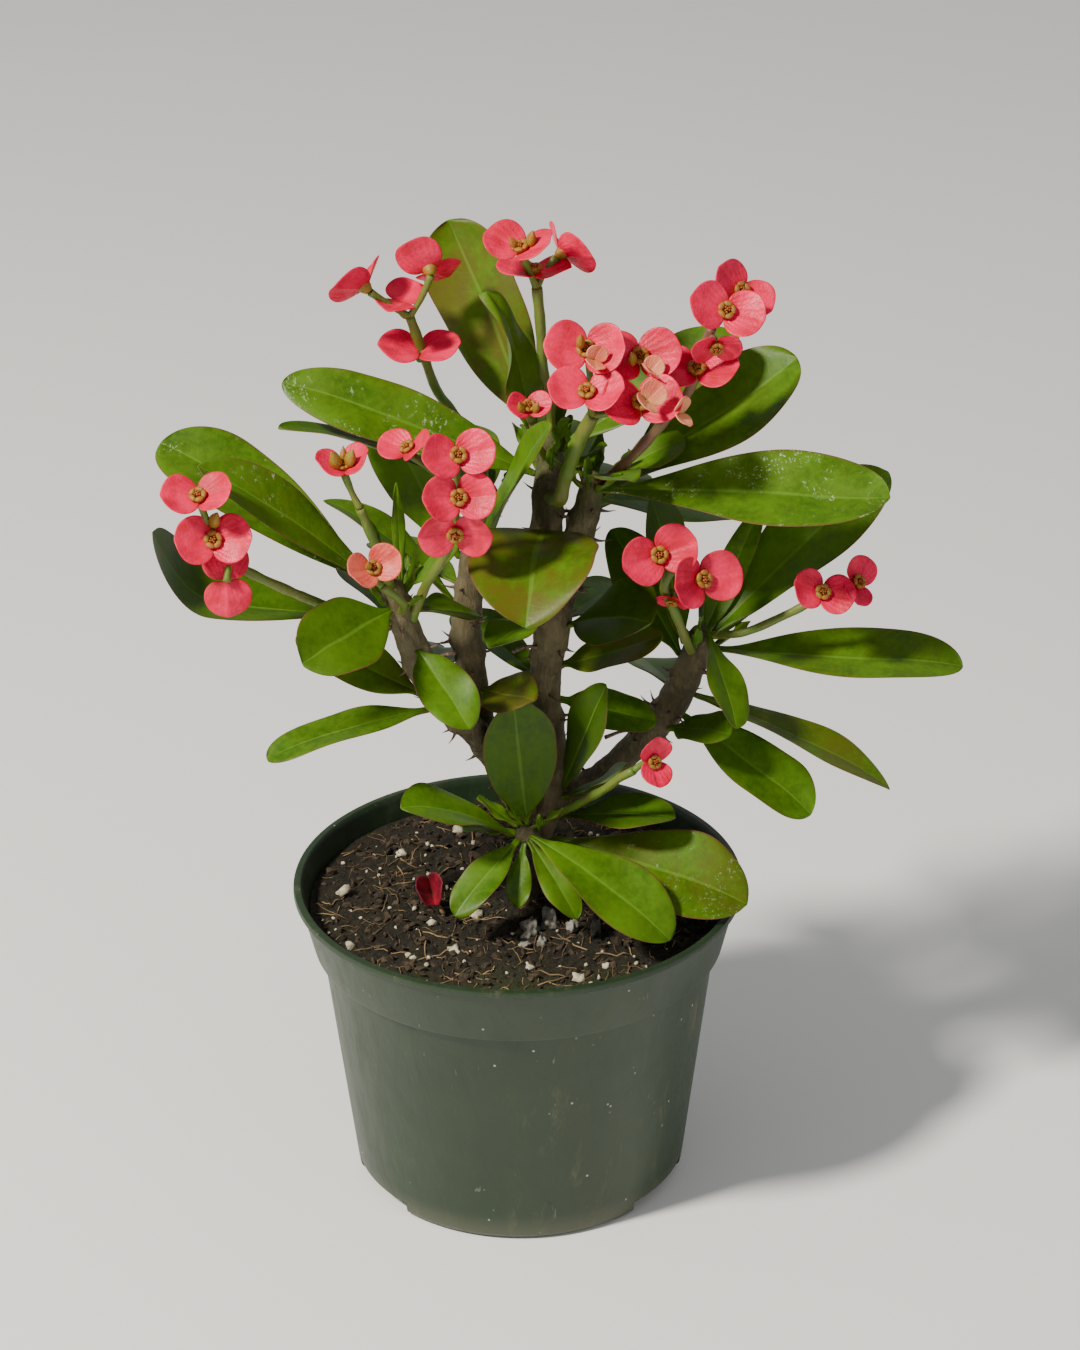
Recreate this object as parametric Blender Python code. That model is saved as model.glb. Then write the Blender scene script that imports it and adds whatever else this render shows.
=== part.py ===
"""Potted crown-of-thorns euphorbia: a nursery pot, its soil, one woody plant with leaves and flowers.

Metres, +Z up. The origin is the middle of the pot's underside. Plant points are given from the pot's
axis and the soil's surface, before PLANT_SCALE.
"""

import math

import bmesh
import bpy
from mathutils import Matrix, Vector

# Pot
POT_HEIGHT = 0.113
RIM_RADIUS = 0.079
LIP_WIDTH = 0.002
LIP_HEIGHT = 0.0025
BAND_HEIGHT = 0.021
BAND_TAPER = 0.0045
BAND_STEP = 0.0032
FOOT_RADIUS = 0.059
FOOT_CORNER = 0.003
WALL = 0.0015
FLOOR = 0.0018
POT_STEPS = 48
CORNER_STEPS = 3

# Drain recesses under the pot's edge, each with one hole
DRAIN_COUNT = 3
DRAIN_FIRST_AZIMUTH = -30
DRAIN_SPAN = 34
DRAIN_DEPTH = 0.009
DRAIN_HEIGHT = 0.005
DRAIN_HOLE_RADIUS = 0.0022
DRAIN_HOLE_SIDES = 12
DRAIN_PAD_EXTRA_SPAN = 5
# Share of the wall and floor that a pad reaches into
PAD_REACH = 0.7
DRAIN_STEPS = 6
CUT_MARGIN = 0.002

# Soil
SOIL_BELOW_RIM = 0.009
SOIL_RELIEF = 0.0006
# Waves of the surface, in radians per metre
SOIL_WAVE_X = 90
SOIL_WAVE_Y = 75
SOIL_RIPPLE_Y = 160
SOIL_RINGS = 6
FIT_GAP = 0.0005

# Plant
PLANT_SCALE = 1.0
SOCKET_DEPTH = 0.006
SOCKET_CLEARANCE = 0.0010
SOCKET_SIDES = 16
STEM_SPACING = 0.007
STALK_SPACING = 0.006
ATTACH_GAP = 0.0016
STALK_ATTACH_GAP = 0.0008
STEM_BEVEL_RESOLUTION = 3
STALK_BEVEL_RESOLUTION = 1

# Leaf blade
LEAF_THICKNESS = 0.0011
LEAF_STATIONS = (0.0, 0.14, 0.32, 0.5, 0.68, 0.84, 0.95, 1.0)
LEAF_TIP_ROUNDNESS = 0.55
LEAF_FOLD = 12
PETIOLE_HALF_WIDTH = 0.0013
TIP_HALF_WIDTH = 0.0007

# Flower head (cyathium): a cup with two round bracts
CUP_HEIGHT = 0.005
CUP_TOP_RADIUS = 0.0032
CUP_BASE_RADIUS = 0.0014
CUP_SIDES = 6
BRACT_THICKNESS = 0.0009
BRACT_SIDES = 8
BRACT_OVERLAP = 0.15
# The second bract of a pair is this much smaller, and the pieces of a head are turned apart, in degrees
BRACT_DIFFERENCE = 0.06
BRACT_TURN = 11
CUP_TURN = 17
# How far below its middle a cup is met by its stalk, as a share of its height
CUP_ROOT = 0.3
PEDICEL_RADIUS = 0.0010

# Vertices closer than this are one
MERGE_DISTANCE = 0.00001

# Each branch: centre points (x, y, height above soil) and the radius at each
BRANCHES = {
    "leader": (
        ((0.002, -0.004, -SOCKET_DEPTH), 0.0047),
        ((0.002, -0.004, 0.000), 0.0046),
        ((0.005, -0.002, 0.015), 0.0042),
        ((0.008, 0.000, 0.027), 0.0046),
        ((0.011, 0.002, 0.039), 0.0055),
        ((0.012, 0.003, 0.052), 0.0058),
        ((0.010, 0.002, 0.080), 0.0055),
        ((0.011, 0.001, 0.096), 0.0058),
        ((0.013, 0.000, 0.110), 0.0066),
        ((0.012, 0.002, 0.128), 0.0057),
        ((0.011, 0.003, 0.142), 0.0053),
        ((0.011, 0.004, 0.154), 0.0052),
        ((0.012, 0.005, 0.166), 0.0045),
        ((0.012, 0.005, 0.176), 0.0035),
    ),
    "right_crown": (
        ((0.013, 0.000, 0.106), 0.0052),
        ((0.017, 0.000, 0.126), 0.0052),
        ((0.022, 0.000, 0.142), 0.0052),
        ((0.025, 0.000, 0.154), 0.0046),
        ((0.026, 0.000, 0.164), 0.0034),
    ),
    "left_branch": (
        ((0.008, 0.000, 0.027), 0.0040),
        ((0.000, -0.002, 0.042), 0.0045),
        ((-0.008, -0.005, 0.059), 0.0045),
        ((-0.016, -0.010, 0.074), 0.0050),
        ((-0.027, -0.015, 0.090), 0.0060),
        ((-0.034, -0.020, 0.108), 0.0052),
        ((-0.038, -0.022, 0.123), 0.0045),
        ((-0.041, -0.024, 0.136), 0.0035),
    ),
    "rear_branch": (
        ((-0.009, -0.005, 0.061), 0.0040),
        ((-0.013, 0.001, 0.074), 0.0050),
        ((-0.016, 0.006, 0.092), 0.0055),
        ((-0.017, 0.009, 0.105), 0.0052),
        ((-0.014, 0.013, 0.126), 0.0050),
        ((-0.010, 0.014, 0.146), 0.0045),
        ((-0.010, 0.014, 0.154), 0.0035),
    ),
    "right_branch": (
        ((0.011, 0.002, 0.039), 0.0045),
        ((0.025, 0.008, 0.041), 0.0050),
        ((0.035, 0.010, 0.049), 0.0050),
        ((0.045, 0.010, 0.060), 0.0052),
        ((0.054, 0.008, 0.073), 0.0058),
        ((0.060, 0.006, 0.089), 0.0052),
        ((0.064, 0.005, 0.104), 0.0038),
    ),
    "sprout": (
        ((0.007, -0.001, 0.024), 0.0030),
        ((0.004, -0.009, 0.029), 0.0038),
        ((0.002, -0.014, 0.035), 0.0040),
    ),
}
SOCKET_RADIUS_AT_FOOT = BRANCHES["leader"][0][1]
FOOT_POINT = BRANCHES["leader"][0][0]

# Each leaf: name, branch, place along it, azimuth, rise, length, width, roll, bend, broadest place.
# Angles are in degrees; roll turns the blade about its own length, bend arches it, and the last value
# is the share of the length at which the blade is widest.
LEAVES = (
    ("crown_tall_leaf",         "leader",       0.99,  135,  59, 0.077, 0.036, -72,   8, 0.68),
    ("crown_curled_leaf",       "leader",       1.00, -168,  78, 0.054, 0.015, -60,   0, 0.60),
    ("crown_left_upper_leaf",   "leader",       0.92,  179,  22, 0.088, 0.023, -45,  12, 0.62),
    ("rear_long_leaf",          "rear_branch",  1.00, -168,  24, 0.070, 0.014,   0,  18, 0.60),
    ("rear_upright_leaf",       "rear_branch",  0.72,  153,  59, 0.058, 0.024, -80,   0, 0.60),
    ("rear_short_leaf",         "rear_branch",  0.56,  166,  37, 0.054, 0.018,   0,  25, 0.60),
    ("rear_forward_leaf",       "rear_branch",  0.81,  -59,  54, 0.071, 0.018,  60,   0, 0.55),
    ("rear_yellow_leaf",        "rear_branch",  0.23,  -54,  16, 0.029, 0.019,  30,   0, 0.55),
    ("left_broad_leaf",         "left_branch",  0.95,  159,  29, 0.090, 0.032, -22,  15, 0.72),
    ("left_curled_edge_leaf",   "left_branch",  1.00, -168,  41, 0.075, 0.025, -26,  12, 0.65),
    ("left_spoon_leaf",         "left_branch",  0.88,  179,   7, 0.079, 0.036,  -8, -10, 0.80),
    ("left_oval_leaf",          "left_branch",  0.92, -130,  -4, 0.041, 0.028, -35,  10, 0.60),
    ("left_shaded_leaf",        "left_branch",  0.61,  179,  29, 0.045, 0.020, -40,   0, 0.60),
    ("left_low_leaf",           "left_branch",  0.57, -165, -10, 0.056, 0.018,  -8,  12, 0.60),
    ("left_knob_leaf",          "left_branch",  0.77,  -51, -33, 0.031, 0.019,  20,  10, 0.50),
    ("left_inner_leaf",         "left_branch",  0.87,   31, -20, 0.026, 0.020,   0,  10, 0.60),
    ("crown_olive_leaf",        "leader",       0.82,  -98, -14, 0.050, 0.044,   0,  55, 0.50),
    ("centre_small_leaf",       "leader",       0.64, -138,  -5, 0.021, 0.018,   0,  20, 0.55),
    ("centre_dark_leaf",        "leader",       0.64,  -34,  16, 0.032, 0.034,  20,  30, 0.65),
    ("centre_olive_leaf",       "leader",       0.55,  -15,  24, 0.036, 0.020,  20, -15, 0.55),
    ("centre_low_leaf",         "leader",       0.46,   -3, -14, 0.032, 0.016,  35,  10, 0.55),
    ("trunk_upright_leaf",      "leader",       0.30,  -41,  68, 0.046, 0.018,  75,   0, 0.60),
    ("trunk_right_leaf",        "leader",       0.23,  -16,   8, 0.040, 0.020,  10,   5, 0.65),
    ("trunk_folded_leaf",       "leader",       0.27,  -20,  38, 0.027, 0.013,   0, -30, 0.60),
    ("trunk_low_leaf",          "leader",       0.18,  -20, -10, 0.071, 0.034,  25,  15, 0.70),
    ("sprout_tall_leaf",        "sprout",       1.00, -150,  84, 0.046, 0.027, -103,  0, 0.60),
    ("sprout_left_leaf",        "sprout",       1.00, -157,  26, 0.043, 0.024, -10,  25, 0.68),
    ("sprout_front_leaf",       "sprout",       0.99,  -32, -23, 0.059, 0.027,  15,  20, 0.65),
    ("sprout_lower_leaf",       "sprout",       0.93, -136, -30, 0.033, 0.014, -20,  20, 0.60),
    ("crown_right_upper_leaf",  "right_crown",  0.86,   21,  27, 0.079, 0.034,  25,  10, 0.70),
    ("crown_back_leaf",         "leader",       0.97,   17,  29, 0.069, 0.024,  25,   0, 0.65),
    ("crown_front_leaf",        "right_crown",  0.90,  -15,   3, 0.096, 0.034,  25,  12, 0.68),
    ("crown_behind_leaf",       "right_crown",  0.81,   38, -18, 0.064, 0.024,  20,   0, 0.60),
    ("crown_inner_leaf",        "right_crown",  1.00,  -66,  20, 0.028, 0.016,   0,   0, 0.50),
    ("crown_round_leaf",        "right_crown",  0.97,    9,  24, 0.029, 0.018,  20,   0, 0.75),
    ("right_long_leaf",         "right_branch", 0.92,   -6,  -1, 0.085, 0.028,  15,  -5, 0.68),
    ("right_lower_leaf",        "right_branch", 0.72,  -13, -22, 0.073, 0.020,   0,  10, 0.60),
    ("right_hanging_leaf",      "right_branch", 0.63,  -23, -31, 0.054, 0.024,  25,  10, 0.65),
    ("right_bright_leaf",       "right_branch", 0.59,  -46,  16, 0.027, 0.017,  20,  10, 0.60),
    ("right_blue_leaf",         "right_branch", 0.99,  -74, -31, 0.037, 0.016, -30,   0, 0.60),
    ("right_rising_leaf",       "right_branch", 0.96,   22,  38, 0.082, 0.032,  20,  10, 0.65),
    ("right_inward_leaf",       "right_branch", 0.87,  163,  62, 0.048, 0.022, -40,   0, 0.60),
    ("right_rear_leaf",         "right_branch", 0.94, -155,  78, 0.055, 0.022, -60,   0, 0.60),
)

# Each flower cluster: name, branch, place along it, stalk radius, the stalk's points and its heads.
# A head is: point, azimuth and elevation it faces, spin, bract radius, opening of the bracts.
FLOWERS = (
    (
        "left_front_flowers", "left_branch", 0.86, 0.0017,
        (
            (-0.029, -0.028, 0.136),
            (-0.023, -0.030, 0.147),
            (-0.020, -0.033, 0.158),
            (-0.018, -0.031, 0.172),
        ),
        (
            ((-0.018, -0.034, 0.184), -80, 40, 5, 0.0072, 20),
            ((-0.018, -0.040, 0.172), -80, 30, 0, 0.0072, 20),
            ((-0.034, -0.024, 0.182), -140, 60, 20, 0.0060, 25),
            ((-0.019, -0.040, 0.160), -90, -5, 0, 0.0070, 15),
        ),
    ),
    (
        "far_left_flowers", "left_branch", 0.86, 0.0016,
        (
            (-0.058, -0.029, 0.127),
            (-0.077, -0.038, 0.140),
            (-0.091, -0.044, 0.151),
            (-0.096, -0.045, 0.157),
        ),
        (
            ((-0.101, -0.048, 0.176), -100, 58, 12, 0.0070, 22),
            ((-0.097, -0.048, 0.161), -85, 35, 0, 0.0075, 20),
            ((-0.093, -0.050, 0.148), 95, -15, 88, 0.0072, 10),
        ),
    ),
    (
        "left_bud_flowers", "left_branch", 1.00, 0.0016,
        ((-0.045, -0.031, 0.150), (-0.050, -0.034, 0.166)),
        (((-0.055, -0.034, 0.180), -100, 70, 20, 0.0060, 35),),
    ),
    (
        "left_faded_flower", "left_branch", 0.90, 0.0014,
        ((-0.037, -0.038, 0.134), (-0.043, -0.043, 0.142)),
        (((-0.046, -0.045, 0.149), -75, 45, 15, 0.0060, 30),),
    ),
    (
        "upper_left_flowers", "rear_branch", 0.97, 0.0017,
        (
            (-0.012, 0.021, 0.164),
            (-0.020, 0.021, 0.176),
            (-0.026, 0.017, 0.187),
            (-0.030, 0.012, 0.202),
            (-0.034, 0.009, 0.216),
        ),
        (
            ((-0.048, 0.004, 0.228), 150, 35, 0, 0.0075, 25),
            ((-0.027, 0.009, 0.232), 100, 32, 50, 0.0075, 20),
            ((-0.037, 0.008, 0.221), -60, 80, 40, 0.0065, 15),
            ((-0.031, 0.009, 0.203), -90, 75, 0, 0.0080, 15),
        ),
    ),
    (
        "top_flowers", "leader", 0.99, 0.0018,
        (
            (0.012, 0.007, 0.184),
            (0.010, 0.005, 0.198),
            (0.009, 0.004, 0.216),
            (0.008, 0.003, 0.228),
        ),
        (
            ((0.003, -0.003, 0.243), -120, 66, 0, 0.0075, 25),
            ((0.016, 0.008, 0.238), 30, 25, 0, 0.0075, 20),
            ((0.007, 0.003, 0.233), -90, 85, 0, 0.0070, 12),
        ),
    ),
    (
        "upper_right_flowers", "right_crown", 0.93, 0.0017,
        (
            (0.035, -0.007, 0.168),
            (0.043, -0.008, 0.177),
            (0.051, -0.008, 0.187),
            (0.058, -0.007, 0.196),
            (0.062, -0.006, 0.209),
            (0.065, -0.006, 0.217),
        ),
        (
            ((0.074, -0.002, 0.228), -60, 35, -50, 0.0068, 20),
            ((0.069, -0.012, 0.225), -80, 35, -20, 0.0075, 20),
            ((0.066, -0.011, 0.213), -80, -20, 0, 0.0050, 15),
            ((0.060, -0.009, 0.203), -90, 60, 0, 0.0080, 15),
        ),
    ),
    (
        "centre_flowers", "leader", 0.88, 0.0024,
        (
            (0.015, -0.010, 0.158),
            (0.017, -0.011, 0.166),
            (0.021, -0.015, 0.180),
            (0.026, -0.019, 0.192),
        ),
        (
            ((0.024, -0.017, 0.214), -100, 35, 0, 0.0080, 20),
            ((0.024, -0.028, 0.203), -100, 55, 0, 0.0075, 20),
            ((0.041, -0.014, 0.210), -80, 40, 0, 0.0080, 20),
            ((0.041, -0.027, 0.199), -80, 45, 0, 0.0080, 20),
        ),
    ),
    (
        "crown_bud_flower", "leader", 0.95, 0.0012,
        ((0.007, -0.004, 0.178), (0.006, -0.008, 0.185)),
        (((0.005, -0.010, 0.191), -80, 50, 0, 0.0046, 25),),
    ),
    (
        "right_front_flowers", "right_branch", 0.90, 0.0016,
        (
            (0.058, -0.004, 0.103),
            (0.054, -0.008, 0.115),
            (0.050, -0.011, 0.126),
            (0.053, -0.011, 0.133),
        ),
        (
            ((0.048, -0.015, 0.140), -85, 25, 20, 0.0078, 20),
            ((0.062, -0.017, 0.132), -60, 20, 0, 0.0080, 20),
            ((0.053, -0.011, 0.122), -110, -40, 0, 0.0034, 15),
        ),
    ),
    (
        "far_right_flowers", "right_branch", 0.97, 0.0014,
        ((0.078, -0.002, 0.105), (0.091, -0.004, 0.112), (0.100, -0.006, 0.118)),
        (
            ((0.103, -0.010, 0.123), -75, 40, -20, 0.0065, 20),
            ((0.115, -0.004, 0.124), -50, 35, 50, 0.0055, 20),
        ),
    ),
    (
        "low_flower", "leader", 0.22, 0.0015,
        ((0.029, -0.015, 0.051), (0.035, -0.019, 0.058), (0.040, -0.021, 0.062)),
        (((0.046, -0.024, 0.067), -60, 20, 80, 0.0055, 30),),
    ),
)

# The fallen flower lies on the soil: its stalk's two ends and its head, in the same form
FALLEN_STALK = ((-0.026, -0.011, 0.0005), (-0.029, -0.008, 0.0035))
FALLEN_HEAD = ((-0.030, -0.006, 0.0055), -100, 50, 20, 0.0055, 60)
FALLEN_STALK_RADIUS = 0.0008

SOIL_TOP = POT_HEIGHT - SOIL_BELOW_RIM
Z_AXIS = Vector((0, 0, 1))

# Colour, roughness and metallic value of each kind of material
MATERIALS = {
    "pot_plastic": ((0.07, 0.12, 0.06), 0.55, 0.0),
    "soil": ((0.045, 0.03, 0.02), 0.95, 0.0),
    "stem": ((0.13, 0.10, 0.06), 0.8, 0.0),
    "leaf": ((0.07, 0.19, 0.02), 0.35, 0.0),
    "flower": ((0.75, 0.09, 0.12), 0.45, 0.0),
    "dried_flower": ((0.25, 0.02, 0.03), 0.7, 0.0),
}


def clear_scene():
    for thing in list(bpy.data.objects):
        bpy.data.objects.remove(thing, do_unlink=True)


def material_for(name, kind):
    color, roughness, metallic = MATERIALS[kind]
    material = bpy.data.materials.new(name)
    material.use_nodes = True
    shader = material.node_tree.nodes["Principled BSDF"]
    shader.inputs["Base Color"].default_value = (*color, 1.0)
    shader.inputs["Roughness"].default_value = roughness
    shader.inputs["Metallic"].default_value = metallic
    return material


def add_object(name, data):
    thing = bpy.data.objects.new(name, data)
    bpy.context.scene.collection.objects.link(thing)
    return thing


def object_from_bmesh(name, shape, smooth_angle=40):
    bmesh.ops.recalc_face_normals(shape, faces=shape.faces)
    mesh = bpy.data.meshes.new(name)
    shape.to_mesh(mesh)
    shape.free()
    mesh.shade_smooth()
    mesh.set_sharp_from_angle(angle=math.radians(smooth_angle))
    return add_object(name, mesh)


def dress(thing, kind):
    thing.data.materials.clear()
    thing.data.materials.append(material_for(thing.name, kind))
    return thing


def boolean(target, cutter, operation, solver="EXACT"):
    """Adds the Boolean modifier and hides the cutter."""
    modifier = target.modifiers.new(cutter.name, "BOOLEAN")
    modifier.operation = operation
    modifier.solver = solver
    modifier.object = cutter
    cutter.hide_render = True
    cutter.display_type = "WIRE"


# Curves and tubes


def smooth_points(points, spacing):
    """Points about this far apart on a smooth curve through the given (x, y, z, radius) points."""
    first = points[0] * 2 - points[1]
    last = points[-1] * 2 - points[-2]
    path = [first, *points, last]
    found = []
    for before, start, end, after in zip(path, path[1:], path[2:], path[3:]):
        count = max(1, round((end - start).length / spacing))
        for step in range(count):
            t = step / count
            found.append(
                0.5
                * (
                    2 * start
                    + (end - before) * t
                    + (2 * before - 5 * start + 4 * end - after) * t * t
                    + (3 * start - before - 3 * end + after) * t * t * t
                )
            )
    found.append(points[-1].copy())
    return found


def plant_point(point):
    """A plant point from its place over the pot's axis and the soil."""
    x, y, height = point
    return Vector((x * PLANT_SCALE, y * PLANT_SCALE, SOIL_TOP + height * PLANT_SCALE))


def branch_path(branch):
    """The branch's smooth path, as 4-vectors of place and radius."""
    points = [
        Vector((*plant_point(place), radius * PLANT_SCALE)) for place, radius in BRANCHES[branch]
    ]
    return smooth_points(points, STEM_SPACING * PLANT_SCALE)


def place_on_branch(branch, along):
    """Centre, direction and radius of the branch at this share of its length."""
    path = branch_path(branch)
    runs = [(b - a).xyz.length for a, b in zip(path, path[1:])]
    target = along * sum(runs)
    for start, end, run in zip(path, path[1:], runs):
        if target <= run:
            break
        target -= run
    share = min(target / run, 1.0)
    spot = start.lerp(end, share)
    return spot.xyz, (end - start).xyz.normalized(), spot.w


def surface_point(branch, along, toward, gap):
    """The point just off the branch's bark, on the side that this direction leads to."""
    centre, direction, radius = place_on_branch(branch, along)
    outward = (toward - direction * toward.dot(direction)).normalized()
    return centre + outward * (radius + gap * PLANT_SCALE)


def tube(name, points, resolution):
    """A closed tube through (x, y, z, radius) points."""
    curve = bpy.data.curves.new(name, "CURVE")
    curve.dimensions = "3D"
    curve.bevel_depth = 1.0
    curve.bevel_resolution = resolution
    curve.use_fill_caps = True
    spline = curve.splines.new("POLY")
    spline.points.add(len(points) - 1)
    for spot, point in zip(spline.points, points):
        spot.co = (*point.xyz, 1.0)
        spot.radius = point.w
    helper = add_object(name, curve)
    bpy.context.view_layer.update()
    graph = bpy.context.evaluated_depsgraph_get()
    mesh = bpy.data.meshes.new_from_object(helper.evaluated_get(graph))
    bpy.data.objects.remove(helper, do_unlink=True)
    shape = bmesh.new()
    shape.from_mesh(mesh)
    bmesh.ops.remove_doubles(shape, verts=shape.verts, dist=MERGE_DISTANCE)
    return object_from_bmesh(name, shape, smooth_angle=60)


# Pot and soil


def foot_corner(radius, corner, floor):
    """The rounded bottom edge, from the wall down to the floor, as (radius, height)."""
    found = []
    for step in range(CORNER_STEPS + 1):
        angle = math.radians(90 * step / CORNER_STEPS)
        found.append(
            (radius - corner + corner * math.cos(angle), floor + corner - corner * math.sin(angle))
        )
    return found


def band_foot_height():
    """Height of the step at which the band meets the tapering wall."""
    return POT_HEIGHT - LIP_HEIGHT - BAND_HEIGHT


def inner_profile(gap):
    """The pot's inside from the floor's edge up to the band's top, drawn in by the gap."""
    band_top = RIM_RADIUS - LIP_WIDTH - WALL
    step_height = band_foot_height() + WALL
    rising = reversed(foot_corner(FOOT_RADIUS - WALL - gap, FOOT_CORNER, FLOOR + gap))
    return [
        *rising,
        (band_top - BAND_TAPER - BAND_STEP - gap, step_height),
        (band_top - BAND_TAPER - gap, step_height + BAND_STEP / 2),
        (band_top - gap, POT_HEIGHT - LIP_HEIGHT),
    ]


def outer_profile():
    """The pot's outside from the lip's inner edge down to the underside."""
    band_top = RIM_RADIUS - LIP_WIDTH
    return [
        (band_top - WALL, POT_HEIGHT),
        (RIM_RADIUS - LIP_WIDTH / 4, POT_HEIGHT),
        (RIM_RADIUS, POT_HEIGHT - LIP_WIDTH / 4),
        (RIM_RADIUS, POT_HEIGHT - LIP_HEIGHT),
        (band_top, POT_HEIGHT - LIP_HEIGHT),
        (band_top - BAND_TAPER, band_foot_height()),
        (band_top - BAND_TAPER - BAND_STEP, band_foot_height()),
        *foot_corner(FOOT_RADIUS, FOOT_CORNER, 0.0),
    ]


def turned(name, profile, steps):
    """A closed solid turned about Z from a (radius, height) outline that starts and ends on the axis."""
    shape = bmesh.new()
    spots = [shape.verts.new((radius, 0, height)) for radius, height in profile]
    edges = [shape.edges.new(pair) for pair in zip(spots, spots[1:])]
    bmesh.ops.spin(
        shape, geom=spots + edges, cent=(0, 0, 0), axis=Z_AXIS, angle=math.tau, steps=steps
    )
    bmesh.ops.remove_doubles(shape, verts=shape.verts, dist=MERGE_DISTANCE)
    return shape


def sector(name, inner, outer, bottom, top, azimuth, span):
    """A closed piece of a flat ring, centred on this azimuth."""
    shape = bmesh.new()
    outline = ((inner, bottom), (outer, bottom), (outer, top), (inner, top))
    slices = []
    for step in range(DRAIN_STEPS + 1):
        angle = math.radians(azimuth + span * (step / DRAIN_STEPS - 0.5))
        slices.append(
            [shape.verts.new((r * math.cos(angle), r * math.sin(angle), z)) for r, z in outline]
        )
    for start, end in zip(slices, slices[1:]):
        for side in range(4):
            following = (side + 1) % 4
            shape.faces.new((start[side], start[following], end[following], end[side]))
    shape.faces.new(slices[0])
    shape.faces.new(reversed(slices[-1]))
    return object_from_bmesh(name, shape)


def add_drain(pot, number):
    """One raised recess in the pot's edge, with a pad over it inside and a hole through the pad."""
    azimuth = DRAIN_FIRST_AZIMUTH + number * 360 / DRAIN_COUNT
    inner = FOOT_RADIUS - DRAIN_DEPTH
    pad = sector(
        f"drain_pad_{number}",
        inner - WALL,
        FOOT_RADIUS - WALL * PAD_REACH,
        FLOOR * PAD_REACH,
        DRAIN_HEIGHT + FLOOR,
        azimuth,
        DRAIN_SPAN + DRAIN_PAD_EXTRA_SPAN,
    )
    recess = sector(
        f"drain_recess_{number}",
        inner,
        FOOT_RADIUS + CUT_MARGIN,
        -CUT_MARGIN,
        DRAIN_HEIGHT,
        azimuth,
        DRAIN_SPAN,
    )
    hole_place = FOOT_RADIUS - DRAIN_DEPTH / 2 - WALL
    angle = math.radians(azimuth)
    hole = bmesh.new()
    bmesh.ops.create_cone(
        hole,
        cap_ends=True,
        segments=DRAIN_HOLE_SIDES,
        radius1=DRAIN_HOLE_RADIUS,
        radius2=DRAIN_HOLE_RADIUS,
        depth=DRAIN_HEIGHT + FLOOR + 2 * CUT_MARGIN,
    )
    cutter = object_from_bmesh(f"drain_hole_{number}", hole)
    cutter.location = (
        hole_place * math.cos(angle),
        hole_place * math.sin(angle),
        (DRAIN_HEIGHT + FLOOR) / 2,
    )
    boolean(pot, pad, "UNION", solver="MANIFOLD")
    boolean(pot, recess, "DIFFERENCE", solver="MANIFOLD")
    boolean(pot, cutter, "DIFFERENCE", solver="MANIFOLD")


def add_pot():
    profile = [(0.0, FLOOR), *inner_profile(0.0), *outer_profile(), (0.0, 0.0)]
    pot = object_from_bmesh("pot", turned("pot", profile, POT_STEPS), smooth_angle=30)
    for number in range(DRAIN_COUNT):
        add_drain(pot, number)
    return dress(pot, "pot_plastic")


def soil_relief(x, y):
    """Height of the soil's gentle humps at a point."""
    humps = math.sin(SOIL_WAVE_X * x + 1) * math.cos(SOIL_WAVE_Y * y)
    return SOIL_RELIEF * (humps + math.sin(SOIL_RIPPLE_Y * y) / 2)


def soil_profile():
    """The soil's outline: over the drain pads, up the pot's inside, then in over the surface."""
    pad_top = DRAIN_HEIGHT + FLOOR + FIT_GAP
    pad_inner = FOOT_RADIUS - DRAIN_DEPTH - WALL - FIT_GAP
    walls = [spot for spot in inner_profile(FIT_GAP) if pad_top < spot[1] < SOIL_TOP]
    foot_inner = FOOT_RADIUS - WALL - FIT_GAP
    start = (foot_inner, max(FLOOR + FOOT_CORNER, pad_top) + FIT_GAP)
    shoulder = walls[-1]
    band_top = inner_profile(FIT_GAP)[-1]
    share = (SOIL_TOP - shoulder[1]) / (band_top[1] - shoulder[1])
    edge_radius = shoulder[0] + share * (band_top[0] - shoulder[0]) - FIT_GAP
    surface = [
        (edge_radius * (1 - ring / SOIL_RINGS), SOIL_TOP) for ring in range(SOIL_RINGS + 1)
    ]
    sides = [spot for spot in walls if spot[1] > start[1]]
    return [
        (0.0, FLOOR + FIT_GAP),
        (pad_inner, FLOOR + FIT_GAP),
        (pad_inner, pad_top),
        (foot_inner - FOOT_CORNER / 4, pad_top),
        start,
        *sides,
        *surface,
    ]


def add_soil():
    shape = turned("soil", soil_profile(), POT_STEPS)
    for spot in shape.verts:
        if spot.co.z > SOIL_TOP - FIT_GAP:
            spot.co.z += soil_relief(spot.co.x, spot.co.y)
    soil = object_from_bmesh("soil", shape)
    socket = bmesh.new()
    bmesh.ops.create_cone(
        socket,
        cap_ends=True,
        segments=SOCKET_SIDES,
        radius1=(SOCKET_RADIUS_AT_FOOT + SOCKET_CLEARANCE) * PLANT_SCALE,
        radius2=(SOCKET_RADIUS_AT_FOOT + SOCKET_CLEARANCE) * PLANT_SCALE,
        depth=2 * (SOCKET_DEPTH + SOCKET_CLEARANCE) * PLANT_SCALE,
    )
    cutter = object_from_bmesh("stem_socket", socket)
    cutter.location = plant_point((FOOT_POINT[0], FOOT_POINT[1], 0.0))
    boolean(soil, cutter, "DIFFERENCE")
    return dress(soil, "soil")


# Woody stems


def add_stems():
    """The trunk and all its branches, which grew as one piece."""
    stems = None
    for branch in BRANCHES:
        name = "stems" if stems is None else f"stem_{branch}"
        limb = tube(name, branch_path(branch), STEM_BEVEL_RESOLUTION)
        if stems is None:
            stems = limb
        else:
            boolean(stems, limb, "UNION")
    return dress(stems, "stem")


# Leaves


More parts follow.
